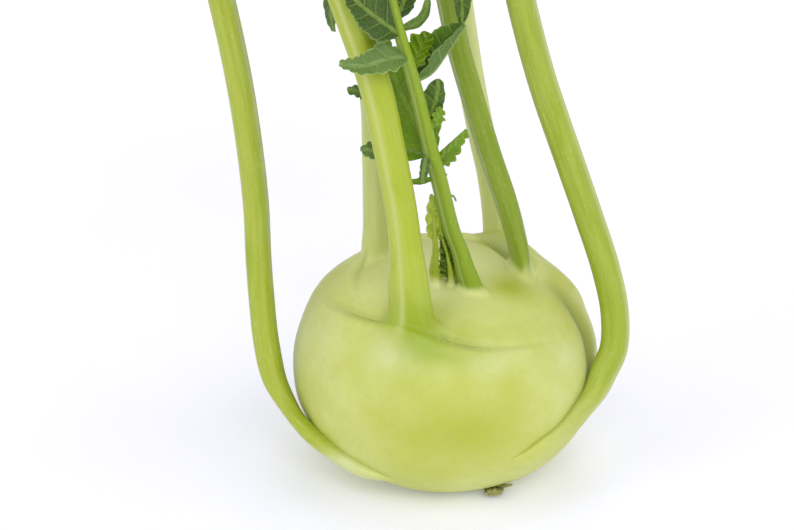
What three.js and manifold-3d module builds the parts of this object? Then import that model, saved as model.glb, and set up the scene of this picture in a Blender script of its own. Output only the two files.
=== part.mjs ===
// A kohlrabi as it is picked, in millimetres, +Z up, standing on the flat spot under its bulb.
// The bulb is the swollen stem. Six grown leaves stand on it, each a stalk and a blade: two old low ones
// wrap up from under the bulb, four rise from its shoulder. In the crown are a young leaf, whose stalk
// carries small lobes and an end blade, and the folded bud leaves. At the foot is the stub of a shed leaf.
// The origin is the middle of the resting spot.

import * as THREE from 'three';
import { mergeVertices } from 'three/addons/utils/BufferGeometryUtils.js';
import { LoftGeometry } from 'three/addons/geometries/LoftGeometry.js';
import Module from 'manifold-3d';

const wasm = await Module();
wasm.setup();

const { Vector3 } = THREE;
const rad = THREE.MathUtils.degToRad;
const { lerp, smoothstep } = THREE.MathUtils;

// ---- Driving dimensions ----

const GAP = 0.3; // between pieces that grow on one another

const BULB_RADIUS = 44;
const BULB_HALF_HEIGHT = 30.6;
const BULB_CENTRE = new Vector3(-1.1, 6.1, 29.6);
const BULB_FULLNESS = 2.25; // 2 would be an ellipsoid, more is squarer in the shoulder
const BULB_LEAN = rad(11); // the crown leans towards the front
const BULB_SIDE_LEAN = rad(2); // and slightly to the right
const BULB_RINGS = 26;
const BULB_SIDES = 46;
const BULB_POLE = rad(88.5); // the height of the last ring, as an angle from the waist
const RING_CROWDING = 0.035; // how much closer the rings lie towards the poles

const STALK_SIDES = 12;
const STALK_STEPS = 20;
const STALK_TAPER = 0.4; // share of its width that a stalk loses by the foot of its blade
const STALK_SLIMS_FROM = 0.85; // share of its length from which it loses that
const CHANNEL_SHARE = 0.24; // the channel's half-width as a share of the stalk's width
const CHANNEL_DEPTH = 0.9;

const YOUNG_WIDTH = 5.4;
const YOUNG_TIP_WIDTH = 3.4;
const YOUNG_SIDES = 8;
const YOUNG_FLATNESS = 0.9; // its depth as a share of its width
const YOUNG_CHANNEL = 0.5;
const YOUNG_FLARE = 3.4;
const YOUNG_FLARE_FROM = 10;
const YOUNG_FLARE_TO = 22;
const BUD_STEPS = 7;
const BUD_FLATNESS = 0.85;
const BUD_CHANNEL = 0.2; // the depth of its groove as a share of its width

const BLADE_THICKNESS = 1.0;
const MARGIN_THICKNESS = 0.6;
const BLADE_STEPS = 13;
const BLADE_ROOT = 2.8; // half-width where the blade leaves its stalk
const BLADE_FOLD = rad(16);
const BLADE_ENDS = { widened: 0.34, rootPower: 0.8, narrowing: 0.25, tipReach: 3, tipPower: 0.75 };
const RIB_WIDTH = 5;
const RIB_DEPTH = 4.4;
const RIB_TIP_WIDTH = 1.2;
const RIB_SHARE = 0.4; // the most of a half-width that the midrib takes
const BEND_SHARE = 0.55; // where between the rib and the margin the sheet bends
const MARGIN_LOBE = 0.07;
const MARGIN_LOBES = 5;
const RUFFLE = 4;
const RUFFLES = 2.5;

const LOBE_STEPS = 9;
const LOBE_ROOT = 0.5;
const LOBE_ENDS = { widened: 0.3, rootPower: 0.7, narrowing: 0, tipReach: 2.6, tipPower: 0.7 };
const LOBE_TOOTH = 0.08;
const LOBE_TEETH = 4;

// ---- Materials ----

const skin = { color: 0xc6cf7c, roughness: 0.42, metalness: 0 };
const stalkSkin = { color: 0xb4c45a, roughness: 0.4, metalness: 0 };
const youngSkin = { color: 0x9cb24a, roughness: 0.42, metalness: 0 };
const leaf = { color: 0x64854a, roughness: 0.6, metalness: 0, side: THREE.DoubleSide };
const budLeaf = { color: 0x93a83c, roughness: 0.55, metalness: 0, side: THREE.DoubleSide };
const stub = { color: 0x9a9a4e, roughness: 0.8, metalness: 0 };

const kohlrabi = new THREE.Group();

function add(name, geometry, finish) {
  const mesh = new THREE.Mesh(geometry, new THREE.MeshStandardMaterial(finish));
  mesh.name = name;
  kohlrabi.add(mesh);
}

// ---- Solids cut and joined with manifold ----

// The closed skin through a row of sections, as a solid. Only the places of its corners are kept, so that
// corners that fall together can be merged.
function toSolid(sections) {
  const loft = new LoftGeometry(sections, { closed: true, capStart: true, capEnd: true });
  const corners = new THREE.BufferGeometry();
  corners.setAttribute('position', loft.attributes.position);
  corners.setIndex(loft.index);
  const merged = mergeVertices(corners, 1e-4);
  return new wasm.Manifold(new wasm.Mesh({
    numProp: 3,
    vertProperties: new Float32Array(merged.attributes.position.array),
    triVerts: new Uint32Array(merged.index.array),
  }));
}

function toGeometry(solid) {
  const mesh = solid.getMesh();
  const geometry = new THREE.BufferGeometry();
  geometry.setAttribute('position', new THREE.BufferAttribute(new Float32Array(mesh.vertProperties), 3));
  geometry.setIndex(new THREE.BufferAttribute(new Uint32Array(mesh.triVerts), 1));
  geometry.computeVertexNormals();
  return geometry;
}

// What is left of a solid outside its neighbours: the largest piece of it.
function cutClear(solid, neighbours) {
  let left = solid;
  for (const neighbour of neighbours) {
    left = left.subtract(neighbour);
  }
  const pieces = left.decompose();
  pieces.sort((one, other) => other.volume() - one.volume());
  return pieces[0];
}

// ---- Bulb ----
// A squashed globe turned about a leaning axis. Each leaf base makes a cushion under its stalk, with a lip
// on the crown side that runs out to the left and right of the stalk.

const bulbUp = new Vector3(Math.sin(BULB_SIDE_LEAN), -Math.sin(BULB_LEAN), 1);
bulbUp.z = Math.sqrt(1 - bulbUp.x ** 2 - bulbUp.y ** 2);
const bulbRight = new Vector3(1, 0, 0).addScaledVector(bulbUp, -bulbUp.x).normalize();
const bulbBack = new Vector3().crossVectors(bulbUp, bulbRight);
const bulbTurn = new THREE.Matrix4().makeBasis(bulbRight, bulbBack, bulbUp).setPosition(BULB_CENTRE);
const bulbTurnBack = bulbTurn.clone().invert();

// Leaf bases on the shoulder: where each stalk stands, seen along the bulb's axis as a bearing (degrees,
// 0 to the right, 90 to the back) and a distance from the axis, how far its lip runs to the left and right
// of the stalk as one looks out from the crown, and how fast each end curls in, with the cube of the way.
const leafBases = {
  front: { bearing: -115, out: 25.7, left: 25, right: 28, curlLeft: 51e-5, curlRight: 36e-5, height: 2.6 },
  backRight: { bearing: 26, out: 23.3, left: 22, right: 6, curlLeft: 2e-4, curlRight: 3e-3, height: 2.4 },
  back: { bearing: 59, out: 27.5, left: 18, right: 10, curlLeft: 12e-4, curlRight: 12e-4, height: 1.7 },
  backLeft: { bearing: 138, out: 27.5, left: 18, right: 18, curlLeft: 12e-4, curlRight: 12e-4, height: 1.8 },
};

const LIP_WIDTH = 1.6;
const CUSHION_LENGTH = 17;
const CUSHION_FADE = 16; // height above the waist over which the cushions fade in
const FURROW_DEPTH = 1.6; // the soft valley down the right side, between two leaf cushions
const FURROW_WIDTH = 3.2;
const FURROW_FRONT = 19.8; // how far to the front it crosses the waist
const FURROW_SLOPE = 0.93; // and how fast it runs back as it climbs
const FURROW_RIGHT = { from: 28, to: 40 }; // it fades in over this stretch to the right
const FURROW_FOOT = { from: -20, to: -4 }; // and over this one in height

function leafCushion(base, x, y) {
  const bearing = rad(base.bearing);
  const out = x * Math.cos(bearing) + y * Math.sin(bearing) - base.out;
  const along = y * Math.cos(bearing) - x * Math.sin(bearing);
  const reach = along > 0 ? base.left : base.right;
  const curl = along > 0 ? base.curlLeft : base.curlRight;
  const fromLip = out + curl * Math.abs(along) ** 3;
  const ends = Math.exp(-((along / reach) ** 4));
  const lip = smoothstep(fromLip, -LIP_WIDTH, LIP_WIDTH);
  return base.height * ends * lip * Math.exp(-((Math.max(fromLip, 0) / CUSHION_LENGTH) ** 2));
}

function furrow(x, y, z) {
  const middle = FURROW_SLOPE * z - FURROW_FRONT;
  const onRight = smoothstep(x, FURROW_RIGHT.from, FURROW_RIGHT.to);
  const below = smoothstep(z, FURROW_FOOT.from, FURROW_FOOT.to);
  return FURROW_DEPTH * onRight * below * Math.exp(-(((y - middle) / FURROW_WIDTH) ** 2));
}

// A point of the bulb's skin: its bearing round the axis, its height as an angle from the waist, and how
// far it is grown outwards.
function bulbPoint(bearing, rise, grown) {
  const flat = 2 / BULB_FULLNESS;
  const waist = Math.max(Math.cos(rise), 0);
  const up = Math.sin(rise);
  const normal = new THREE.Vector2(
    waist ** (2 - flat) / BULB_RADIUS,
    (Math.sign(up) * Math.abs(up) ** (2 - flat)) / BULB_HALF_HEIGHT,
  ).normalize();
  const out = BULB_RADIUS * waist ** flat;
  const x = out * Math.cos(bearing);
  const y = out * Math.sin(bearing);
  const z = BULB_HALF_HEIGHT * Math.sign(up) * Math.abs(up) ** flat;
  let swell = grown - furrow(x, y, z);
  if (z > 0) {
    for (const base of Object.values(leafBases)) {
      swell += leafCushion(base, x, y) * smoothstep(z, 0, CUSHION_FADE);
    }
  }
  const wide = out + swell * normal.x;
  const point = new Vector3(wide * Math.cos(bearing), wide * Math.sin(bearing), z + swell * normal.y);
  return point.applyMatrix4(bulbTurn);
}

function bulbSolid(grown) {
  const rings = [];
  for (let i = 0; i <= BULB_RINGS; i += 1) {
    const t = i / BULB_RINGS;
    const crowded = t + RING_CROWDING * Math.sin(2 * Math.PI * t);
    const rise = BULB_POLE * (2 * crowded - 1);
    const ring = [];
    for (let j = 0; j < BULB_SIDES; j += 1) {
      ring.push(bulbPoint((2 * Math.PI * j) / BULB_SIDES, rise, grown));
    }
    rings.push(ring);
  }
  return toSolid(rings);
}

const bulb = bulbSolid(0).trimByPlane([0, 0, 1], 0);
const bulbGrown = bulbSolid(GAP);
add('bulb', toGeometry(bulb), skin);

// Places are measured from the bulb's centre. This one moves a place along the ray from the centre until
// it is at a clearance above the skin.
function hug(x, y, z, clearance) {
  const ray = new Vector3(x, y, z).add(BULB_CENTRE).applyMatrix4(bulbTurnBack);
  const across = Math.hypot(ray.x, ray.y) / BULB_RADIUS;
  const up = Math.abs(ray.z) / BULB_HALF_HEIGHT;
  const size = (across ** BULB_FULLNESS + up ** BULB_FULLNESS) ** (1 / BULB_FULLNESS);
  const reach = ray.length() / size + clearance;
  return ray.setLength(reach).applyMatrix4(bulbTurn).sub(BULB_CENTRE).toArray();
}

// ---- Sweeps ----
// A carrier is a smooth path with a frame: up starts towards a given face and is carried along without
// rolling, and side is square to up and to the path.

const CARRIER_STEPS = 240;

function carrier(points, face) {
  const path = new THREE.CatmullRomCurve3(
    points.map((point) => new Vector3(...point).add(BULB_CENTRE)),
    false,
    'centripetal',
  );
  const tangents = [];
  const ups = [];
  const up = new Vector3(...face);
  for (let i = 0; i <= CARRIER_STEPS; i += 1) {
    const tangent = path.getTangentAt(i / CARRIER_STEPS);
    if (i > 0) {
      up.applyQuaternion(new THREE.Quaternion().setFromUnitVectors(tangents[i - 1], tangent));
    }
    up.addScaledVector(tangent, -up.dot(tangent)).normalize();
    tangents.push(tangent);
    ups.push(up.clone());
  }
  const length = path.getLength();
  const place = (t, across, above) => {
    const near = Math.round(t * CARRIER_STEPS);
    const side = new Vector3().crossVectors(ups[near], tangents[near]);
    return path.getPointAt(t).addScaledVector(side, across).addScaledVector(ups[near], above);
  };
  return { length, place };
}

// A solid whose section, a list of [across, above], is carried from one share of the path to another.
function sweep(along, from, to, steps, section) {
  const sections = [];
  for (let i = 0; i <= steps; i += 1) {
    const t = from + ((to - from) * i) / steps;
    const outline = section(i / steps, t * along.length);
    sections.push(outline.map(([across, above]) => along.place(t, across, above)));
  }
  return toSolid(sections);
}

// An oval with a shallow channel along its inner face.
function ovalSection(sides, width, depth, channel) {
  const outline = [];
  for (let i = 0; i < sides; i += 1) {
    const angle = (2 * Math.PI * i) / sides;
    const across = (width / 2) * Math.cos(angle);
    const dip = Math.sin(angle) > 0 ? channel * Math.exp(-((across / (CHANNEL_SHARE * width)) ** 2)) : 0;
    outline.push([across, (depth / 2) * Math.sin(angle) - dip]);
  }
  return outline;
}

// A leaf sheet seen end on: folded up along its midrib, thicker at the rib, thinner at its margins.
function sheetSection(left, right, fold, ribWidth, ribDepth, ruffle) {
  const rib = Math.min(ribWidth / 2, RIB_SHARE * left, RIB_SHARE * right);
  const ribStops = rib > 0 ? [rib, 0, -rib] : [0];
  const stops = [right, BEND_SHARE * right, ...ribStops, -BEND_SHARE * left, -left];
  const lift = (x) => {
    const share = x > 0 ? x / right : -x / left;
    return Math.abs(x) * Math.tan(fold) + ruffle * Math.sign(x) * share ** 2;
  };
  const thickness = (x) => {
    if (x === right || x === -left) {
      return MARGIN_THICKNESS;
    }
    return Math.abs(x) < rib ? ribDepth : BLADE_THICKNESS;
  };
  const top = stops.map((x) => [x, lift(x)]);
  const bottom = stops.map((x) => [x, lift(x) - thickness(x)]).reverse();
  return [...top, ...bottom];
}

// ---- Grown leaves ----
// path: the leaf's middle line, from inside or beside the bulb, up the stalk and on along the midrib.
// face: where the leaf's inner side looks at its foot. stalkShare: how much of the path is stalk.
// foot: the stalk's section at its foot, and between which distances along the path it grows to its own.

const leaves = {
  front: {
    path: [
      [-7.1, -19.7, 14.4], [-9.7, -25.2, 23.4], [-10.6, -26.7, 32.4], [-11.3, -26.1, 42.4],
      [-12.7, -25.7, 55.4], [-16.5, -24.7, 76.4], [-19.7, -23.7, 91.4], [-25.3, -22.7, 108.4],
      [-32.1, -22.7, 128.4], [-38.1, -23.7, 150.4], [-44.1, -31.7, 175.4], [-51.1, -50.7, 200.4],
      [-57.1, -76.7, 213.4], [-61.1, -102.7, 208.4],
    ],
    face: [0.45, 0.9, 0], stalkShare: 0.52, width: 9, depth: 8.4, halfWidth: 33,
    foot: { width: 13, depth: 9, from: 14, to: 40 },
  },
  left: {
    path: [
      hug(-10.1, -34.9, -21.8, 0.1), hug(-14.3, -34.3, -21.3, 0.6), hug(-19.1, -33.1, -20.6, 1.1),
      hug(-23.7, -31.2, -19.8, 1.4), hug(-28.9, -28.6, -18.3, 1.7), hug(-33.6, -25.2, -16.5, 2),
      hug(-38, -21.2, -14.1, 2.9), hug(-41.7, -17.5, -11, 3.5), [-45.7, -13.1, -6.9],
      [-49.2, -9.6, -0.9], [-51.6, -6.1, 9.8], [-52.7, -4.1, 21.4], [-53.4, -3.1, 33.3],
      [-54, -2.1, 51.2], [-57.1, -2.7, 81.4], [-62.1, -5.7, 111.4], [-68.1, -8.7, 138.4],
      [-76.1, -12.7, 160.4], [-90.1, -18.7, 182.4], [-111.1, -24.7, 198.4], [-135.1, -29.7, 202.4],
      [-157.1, -32.7, 192.4],
    ],
    face: [0.1, 0.5, 0.85], stalkShare: 0.63, width: 9, depth: 8, halfWidth: 32,
    foot: { width: 7, depth: 3.2, from: 30, to: 62 },
  },
  right: {
    path: [
      hug(13.2, -39.4, -14.1, 0), hug(17.7, -38.2, -14.1, 0.4), hug(22.7, -36.3, -13.4, 0.9),
      hug(27.7, -34, -11.3, 1.3), hug(32.7, -30.6, -8.7, 1.6), hug(37.4, -26.7, -4.9, 2.2),
      hug(41.6, -21.3, -1.1, 2.8), hug(44.5, -16.3, 3.9, 3.8), [47.6, -13, 10.3], [47.8, -10, 20.2],
      [45.2, -8, 32.3], [39.3, -7.1, 50.1], [34, -8.6, 65.6], [25.9, -9.7, 89.4],
      [19.5, -11.7, 113.4], [14.5, -12.7, 136.4], [12.5, -13.7, 158.4], [18.9, -17.7, 182.4],
      [35.9, -24.7, 203.4], [59.9, -32.7, 214.4], [84.9, -40.7, 210.4],
    ],
    face: [-0.3, 0.7, 0.4], stalkShare: 0.62, width: 9.8, depth: 8.4, halfWidth: 33,
    foot: { width: 7, depth: 3, from: 16, to: 50 },
  },
  back_right: {
    path: [
      [19.9, -1.2, 14.4], [21.3, 1.8, 25.4], [21.1, 3.3, 32.4], [19.5, 4.3, 39.4], [16.8, 5.3, 48.4],
      [12.3, 7.3, 61.4], [6.5, 9.3, 80.4], [3.1, 10.3, 92.4], [0.1, 11.3, 106.4], [-3.7, 12.3, 126.4],
      [-5.1, 15.3, 148.4], [2.9, 26.3, 174.4], [18.9, 41.3, 194.4], [38.9, 58.3, 204.4],
      [58.9, 75.3, 198.4],
    ],
    face: [-1, -0.3, 0], stalkShare: 0.53, width: 7.6, depth: 7.2, halfWidth: 31,
    foot: { width: 11, depth: 4.8, from: 12, to: 40 },
  },
  back: {
    path: [
      [14.7, 21.3, 10.2], [15.7, 25.3, 22.4], [15.2, 26.8, 32.7], [13.4, 28.3, 47.4],
      [10.4, 29.3, 60.9], [6.9, 29.3, 79.4], [3.6, 27.9, 100.9], [0.4, 28.3, 121.6],
      [-3.1, 34.3, 140.1], [-7.1, 51.3, 160.4], [-11.1, 75.3, 174.4], [-14.1, 99.3, 176.4],
      [-16.1, 121.3, 166.4],
    ],
    face: [-0.5, -0.85, 0], stalkShare: 0.53, width: 8, depth: 7.6, halfWidth: 32,
    foot: { width: 11, depth: 8, from: 12, to: 28 },
  },
  back_left: {
    path: [
      [-16.1, 6.3, 14.4], [-19.7, 9.8, 26.4], [-20.1, 11.3, 38.4], [-20.3, 12.9, 58.4],
      [-20.9, 13.3, 76.4], [-23.5, 12.7, 91.4], [-27.5, 12.3, 106.4], [-33.1, 13.3, 126.4],
      [-40.1, 17.3, 148.4], [-51.1, 29.3, 172.4], [-66.1, 47.3, 192.4], [-85.1, 67.3, 200.4],
      [-104.1, 85.3, 193.4],
    ],
    face: [0.8, -0.6, 0], stalkShare: 0.54, width: 7.8, depth: 7.4, halfWidth: 31,
    foot: { width: 11, depth: 8, from: 12, to: 28 },
  },
};

function stalkSolid(spec, along, grown) {
  return sweep(along, 0, spec.stalkShare - grown / along.length, STALK_STEPS, (t, distance) => {
    const grownUp = smoothstep(distance, spec.foot.from, spec.foot.to);
    const slim = 1 - STALK_TAPER * smoothstep(t, STALK_SLIMS_FROM, 1);
    const width = lerp(spec.foot.width, spec.width, grownUp) * slim + 2 * grown;
    const depth = lerp(spec.foot.depth, spec.depth, grownUp) * slim + 2 * grown;
    return ovalSection(STALK_SIDES, width, depth, CHANNEL_DEPTH * grownUp);
  });
}

// How a blade or a lobe narrows beyond its root, as a share of its half-width: evenly by its narrowing, and
// at the tip later with a greater reach and rounder with a smaller power.
function tipShare(t, ends) {
  return ((1 - t ** ends.tipReach) ** ends.tipPower) * (1 - ends.narrowing * t);
}

// A grown blade's half-width along its midrib, as a share: it widens over its first third and narrows
// slowly to a round tip.
function bladeOutline(t) {
  const root = smoothstep(t, 0, BLADE_ENDS.widened) ** BLADE_ENDS.rootPower;
  return root * tipShare(t, BLADE_ENDS);
}

// A grown blade: its margin has shallow lobes and ruffles up and down.
function bladeSolid(spec, along) {
  const from = spec.stalkShare + GAP / along.length;
  return sweep(along, from, 1, BLADE_STEPS, (t) => {
    const lobed = 1 + MARGIN_LOBE * Math.cos(2 * Math.PI * MARGIN_LOBES * t);
    const half = BLADE_ROOT + (spec.halfWidth - BLADE_ROOT) * bladeOutline(t) * lobed;
    const ribDepth = lerp(RIB_DEPTH, BLADE_THICKNESS, t);
    const ribWidth = lerp(RIB_WIDTH, RIB_TIP_WIDTH, t);
    const ruffle = RUFFLE * Math.sin(2 * Math.PI * RUFFLES * t) * bladeOutline(t);
    return sheetSection(half, half, BLADE_FOLD, ribWidth, ribDepth, ruffle);
  });
}

for (const [name, spec] of Object.entries(leaves)) {
  const along = carrier(spec.path, spec.face);
  add(`${name}_stalk`, toGeometry(cutClear(stalkSolid(spec, along, 0), [bulbGrown])), stalkSkin);
  add(`${name}_blade`, toGeometry(bladeSolid(spec, along)), leaf);
}

// ---- Young leaf ----

const young = {
  path: [
    [7.3, -7.7, 18.4], [6.9, -11.1, 28.4], [5.1, -12.3, 34.4], [3.6, -12.7, 39.9], [1.3, -13.7, 46.4],
    [-3.1, -17.1, 65.4], [-4.9, -19.1, 72.4], [-9.2, -22.7, 91.8], [-13, -24.7, 106.4],
    [-15.7, -25.7, 117.4], [-17.9, -26.3, 128.4], [-19.1, -26.3, 139.4], [-17.7, -25.3, 156.4],
    [-12.1, -25.7, 174.4], [-4.1, -28.7, 190.4], [4.9, -34.7, 202.4],
  ],
  face: [0.5, 0.8, 0], stalkShare: 0.63, halfWidth: 17,
};
const youngAlong = carrier(young.path, young.face);

function youngStalk(grown) {
  return sweep(youngAlong, 0, young.stalkShare - grown / youngAlong.length, STALK_STEPS, (t, distance) => {
    const flare = YOUNG_FLARE * (1 - smoothstep(distance, YOUNG_FLARE_FROM, YOUNG_FLARE_TO));
    const width = lerp(YOUNG_WIDTH, YOUNG_TIP_WIDTH, t) + flare;
    const depth = YOUNG_FLATNESS * width + 2 * grown;
    return ovalSection(YOUNG_SIDES, width + 2 * grown, depth, YOUNG_CHANNEL);
  });
}

const youngGrown = youngStalk(GAP);
add('young_stalk', toGeometry(cutClear(youngStalk(0), [bulbGrown])), youngSkin);
add('young_blade', toGeometry(bladeSolid(young, youngAlong)), leaf);

// The lobes along the young stalk, from the lowest up. Each grows from the stalk's side along its own
// midrib; left and right are its half-widths, fold is how far it is folded up along the midrib, and ends is
// what its outline has of its own. Two grow along the stalk from a broad foot, one ends a thin stalklet.
const lobes = [
  {
    path: [[-3.3, -17, 68.4], [0.5, -16.4, 72], [5.2, -15.6, 77]],
    face: [0, -1, 0.2], left: 3.2, right: 1.2, fold: 10, ends: { widened: 0.1, narrowing: 0.3 },
  },
  {
    path: [[-3.7, -17.2, 63.2], [-7.7, -16.4, 62], [-12, -15.2, 61.4]],
    face: [0, 0.3, 1], left: 1, right: 1, fold: 30,
  },
  {
    path: [[-6.2, -20, 71], [-6.8, -21.6, 68], [-7.3, -22.2, 63.9]],
    face: [-1, 0, 0], left: 1.6, right: 1.6, fold: 45,
  },
  {
    path: [[-5.9, -18.6, 70.4], [-12.2, -18, 72.3], [-16.6, -17.8, 71.6], [-24.3, -16.6, 71.8]],
    face: [0.2, -1, 0.1], left: 4.2, right: 4.2, fold: 6, ends: { widened: 0.75, rootPower: 2 },
  },
  {
    path: [[-4.5, -15.7, 70], [-9.6, -8.3, 77.9], [-14.4, -5.3, 87.9], [-17.7, -4.7, 100.4]],
    face: [-0.3, -1, 0.5], left: 5.2, right: 12, fold: 10,
  },
  {
    path: [[-6.1, -20.6, 80.7], [-4.2, -18.6, 84.5], [-3.1, -18.2, 88.7], [-2.9, -18.3, 92.7]],
    face: [0.3, -1, 0.1], left: 2.5, right: 3.4, fold: 8, ends: { widened: 0.08, tipReach: 6 },
  },
  {
    path: [[-11.7, -25.3, 101.3], [-17.3, -29.7, 101.8], [-23.4, -32.3, 100.8], [-29.6, -32.7, 101.6]],
    face: [0, -0.8, 0.6], left: 4.8, right: 4.2, fold: 12,
  },
  {
    path: [[-9.5, -22.1, 93], [-4.6, -18.7, 94.6], [-0.2, -16.7, 100], [4.7, -14.7, 106.9]],
    face: [-0.6, -0.1, 0.8], left: 4.4, right: 4.4, fold: 48,
  },
  {
    path: [[-10.5, -22.3, 97], [-7.8, -17.1, 100.8], [-5.4, -14.7, 104.8]],
    face: [-0.3, -0.9, 0.3], left: 3.4, right: 3.4, fold: 20,
  },
  {
    path: [[-12.9, -24.3, 108.6], [-8.2, -23.6, 110], [-6, -22.9, 112.8], [-5.4, -22.5, 117.5]],
    face: [-0.7, -0.6, 0.3], left: 1.7, right: 1.7, fold: 40,
  },
  {
    path: [[-13.7, -25.7, 107.8], [-18.6, -28.7, 112.5], [-23.7, -31.1, 117.4], [-28.5, -32.7, 123]],
    face: [0.4, -0.8, 0.4], left: 6.4, right: 6, fold: 10,
  },
  {
    path: [[-14.5, -24.5, 111.4], [-12.3, -19.3, 114.4], [-11.3, -15.7, 118.4]],
    face: [-0.3, -0.9, 0.3], left: 3.4, right: 3.4, fold: 15,
  },
  {
    path: [
      [-17.3, -25.1, 122.4], [-24.1, -14.1, 124.9], [-30.5, -12, 118.9], [-32.1, -12, 112],
      [-31.3, -12.3, 104.2],
    ],
    face: [0.1, -1, 0.1], left: 3.2, right: 3.2, fold: 20,
  },
  {
    path: [
      [-17.9, -25.1, 128.4], [-7.9, -17.7, 131.8], [-1.1, -13.9, 125.9], [2.8, -12.9, 117.4],
      [3.6, -12.5, 106.5],
    ],
    face: [0.1, -1, 0.1], left: 3.8, right: 3.8, fold: 20,
  },
];

function lobeSolid(spec) {
  const along = carrier(spec.path, spec.face);
  const ends = { ...LOBE_ENDS, ...spec.ends };
  return sweep(along, 0, 1, LOBE_STEPS, (t) => {
    const lobed = 1 + LOBE_TOOTH * Math.cos(2 * Math.PI * LOBE_TEETH * t);
    const root = Math.min(t / ends.widened, 1) ** ends.rootPower;
    const outline = root * tipShare(t, ends) * lobed;
    const left = LOBE_ROOT + spec.left * outline;
    const right = LOBE_ROOT + spec.right * outline;
    return sheetSection(left, right, rad(spec.fold), 0, BLADE_THICKNESS, 0);
  });
}

lobes.forEach((spec, index) => {
  add(`young_lobe_${index + 1}`, toGeometry(cutClear(lobeSolid(spec), [youngGrown])), leaf);
});

// ---- Bud leaves ----
// Still folded, they stand close together at the heart of the crown beside the young stalk.

const buds = [
  {
    path: [[-0.1, -8.7, 24.4], [-2.3, -10.7, 31.8], [-2.9, -12.2, 43.9], [-4.5, -13.7, 58.9]],
    face: [0.9, 0.2, 0], width: 3.4, tip: 1.6,
  },
  {
    path: [[1.3, -9.7, 25.4], [0.5, -11.3, 32.4], [-0.5, -12.1, 40.4], [-1.3, -12.7, 48.9]],
    face: [0.9, 0.2, 0], width: 1.9, tip: 2.4,
  },
  {
    path: [[2.9, -6.7, 25.4], [2.5, -8.1, 33], [1.5, -9.1, 41.9]],
    face: [-0.9, -0.3, 0], width: 1.9, tip: 1.4,
  },
];

const budNeighbours = [bulbGrown, youngGrown];
buds.forEach((spec, index) => {
  const along = carrier(spec.path, spec.face);
  const budSolid = (grown) => sweep(along, 0, 1, BUD_STEPS, (t) => {
    const width = lerp(spec.width, spec.tip, t) + 2 * grown;
    return ovalSection(YOUNG_SIDES, width, BUD_FLATNESS * width, BUD_CHANNEL * width);
  });
  add(`bud_leaf_${index + 1}`, toGeometry(cutClear(budSolid(0), budNeighbours)), budLeaf);
  budNeighbours.push(budSolid(GAP));
});

// ---- Stub of a shed leaf, under the front of the bulb ----

const STUB_STEPS = 5;
const STUB_CHANNEL = 0.2;
const stubSize = { width: 5.6, tipWidth: 3, depth: 1.8, tipDepth: 1.3 };
const stubAlong = carrier([[12.6, -21.6, -28.4], [14.1, -25.6, -28.1], [16.1, -29.6, -27]], [0, 0, 1]);
const stubSolid = sweep(stubAlong, 0, 1, STUB_STEPS, (t) => {
  const width = lerp(stubSize.width, stubSize.tipWidth, t);
  const depth = lerp(stubSize.depth, stubSize.tipDepth, t);
  return ovalSection(YOUNG_SIDES, width, depth, STUB_CHANNEL);
});
add('base_stub', toGeometry(cutClear(stubSolid, [bulbGrown])), stub);

export default kohlrabi;
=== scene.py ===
import bpy
import numpy as np
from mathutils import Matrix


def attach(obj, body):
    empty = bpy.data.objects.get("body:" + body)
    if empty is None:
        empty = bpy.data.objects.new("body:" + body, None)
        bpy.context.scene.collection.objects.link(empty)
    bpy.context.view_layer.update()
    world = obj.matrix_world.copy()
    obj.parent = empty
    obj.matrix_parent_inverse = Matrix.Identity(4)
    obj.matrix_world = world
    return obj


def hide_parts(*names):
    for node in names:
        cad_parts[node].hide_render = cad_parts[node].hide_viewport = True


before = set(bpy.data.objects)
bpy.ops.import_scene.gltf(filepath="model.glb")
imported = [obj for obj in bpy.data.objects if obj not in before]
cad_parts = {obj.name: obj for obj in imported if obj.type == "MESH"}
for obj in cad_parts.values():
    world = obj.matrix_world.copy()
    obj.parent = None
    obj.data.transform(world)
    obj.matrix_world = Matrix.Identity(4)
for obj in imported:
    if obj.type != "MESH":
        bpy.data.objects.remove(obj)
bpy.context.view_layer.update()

# ---- Camera, floor and light ----
# The kohlrabi stands on a wide pale sheet in a bright room. Four wide soft lights shine on it, from the
# front, the left, the right and above the back. The camera looks down on it at 22 degrees.

VIEW_AIM = np.array([-0.01518, 0.01671, 0.05585])
VIEW_DISTANCE = 0.850
VIEW_DOWN = np.radians(22.0)
VIEW_LENS = 132.71
FLOOR_SIZE = 12.0
SKY_STRENGTH = 0.47
FLOOR_GLOW = 0.17


def soft_light(name, source, spread, strength):
    """Adds a far, soft white light that shines from a direction and is as wide as an angle in degrees."""
    data = bpy.data.lights.new(name, "SUN")
    data.angle = np.radians(spread)
    data.energy = strength
    made = bpy.data.objects.new(name, data)
    bpy.context.collection.objects.link(made)
    flat = np.hypot(source[0], source[1])
    made.rotation_euler = (np.arctan2(flat, source[2]), 0.0, np.arctan2(source[1], source[0]) + np.pi / 2)


camera_data = bpy.data.cameras.new("camera")
camera_data.lens = VIEW_LENS
camera_data.sensor_width = 36.0
camera_data.clip_start = 0.01
camera_data.clip_end = 50.0
camera = bpy.data.objects.new("camera", camera_data)
bpy.context.collection.objects.link(camera)
camera.location = VIEW_AIM + VIEW_DISTANCE * np.array([0.0, -np.cos(VIEW_DOWN), np.sin(VIEW_DOWN)])
camera.rotation_euler = (np.pi / 2 - VIEW_DOWN, 0.0, 0.0)
bpy.context.scene.camera = camera
bpy.context.scene.view_settings.view_transform = "Standard"

soft_light("front_light", (0.15, -1.0, 0.72), 35.0, 0.9)
soft_light("left_light", (-0.9, -0.5, 0.8), 50.0, 0.68)
soft_light("right_light", (0.9, -0.4, 0.8), 50.0, 0.6)
soft_light("back_light", (0.1, 0.6, 1.2), 40.0, 0.6)

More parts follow.
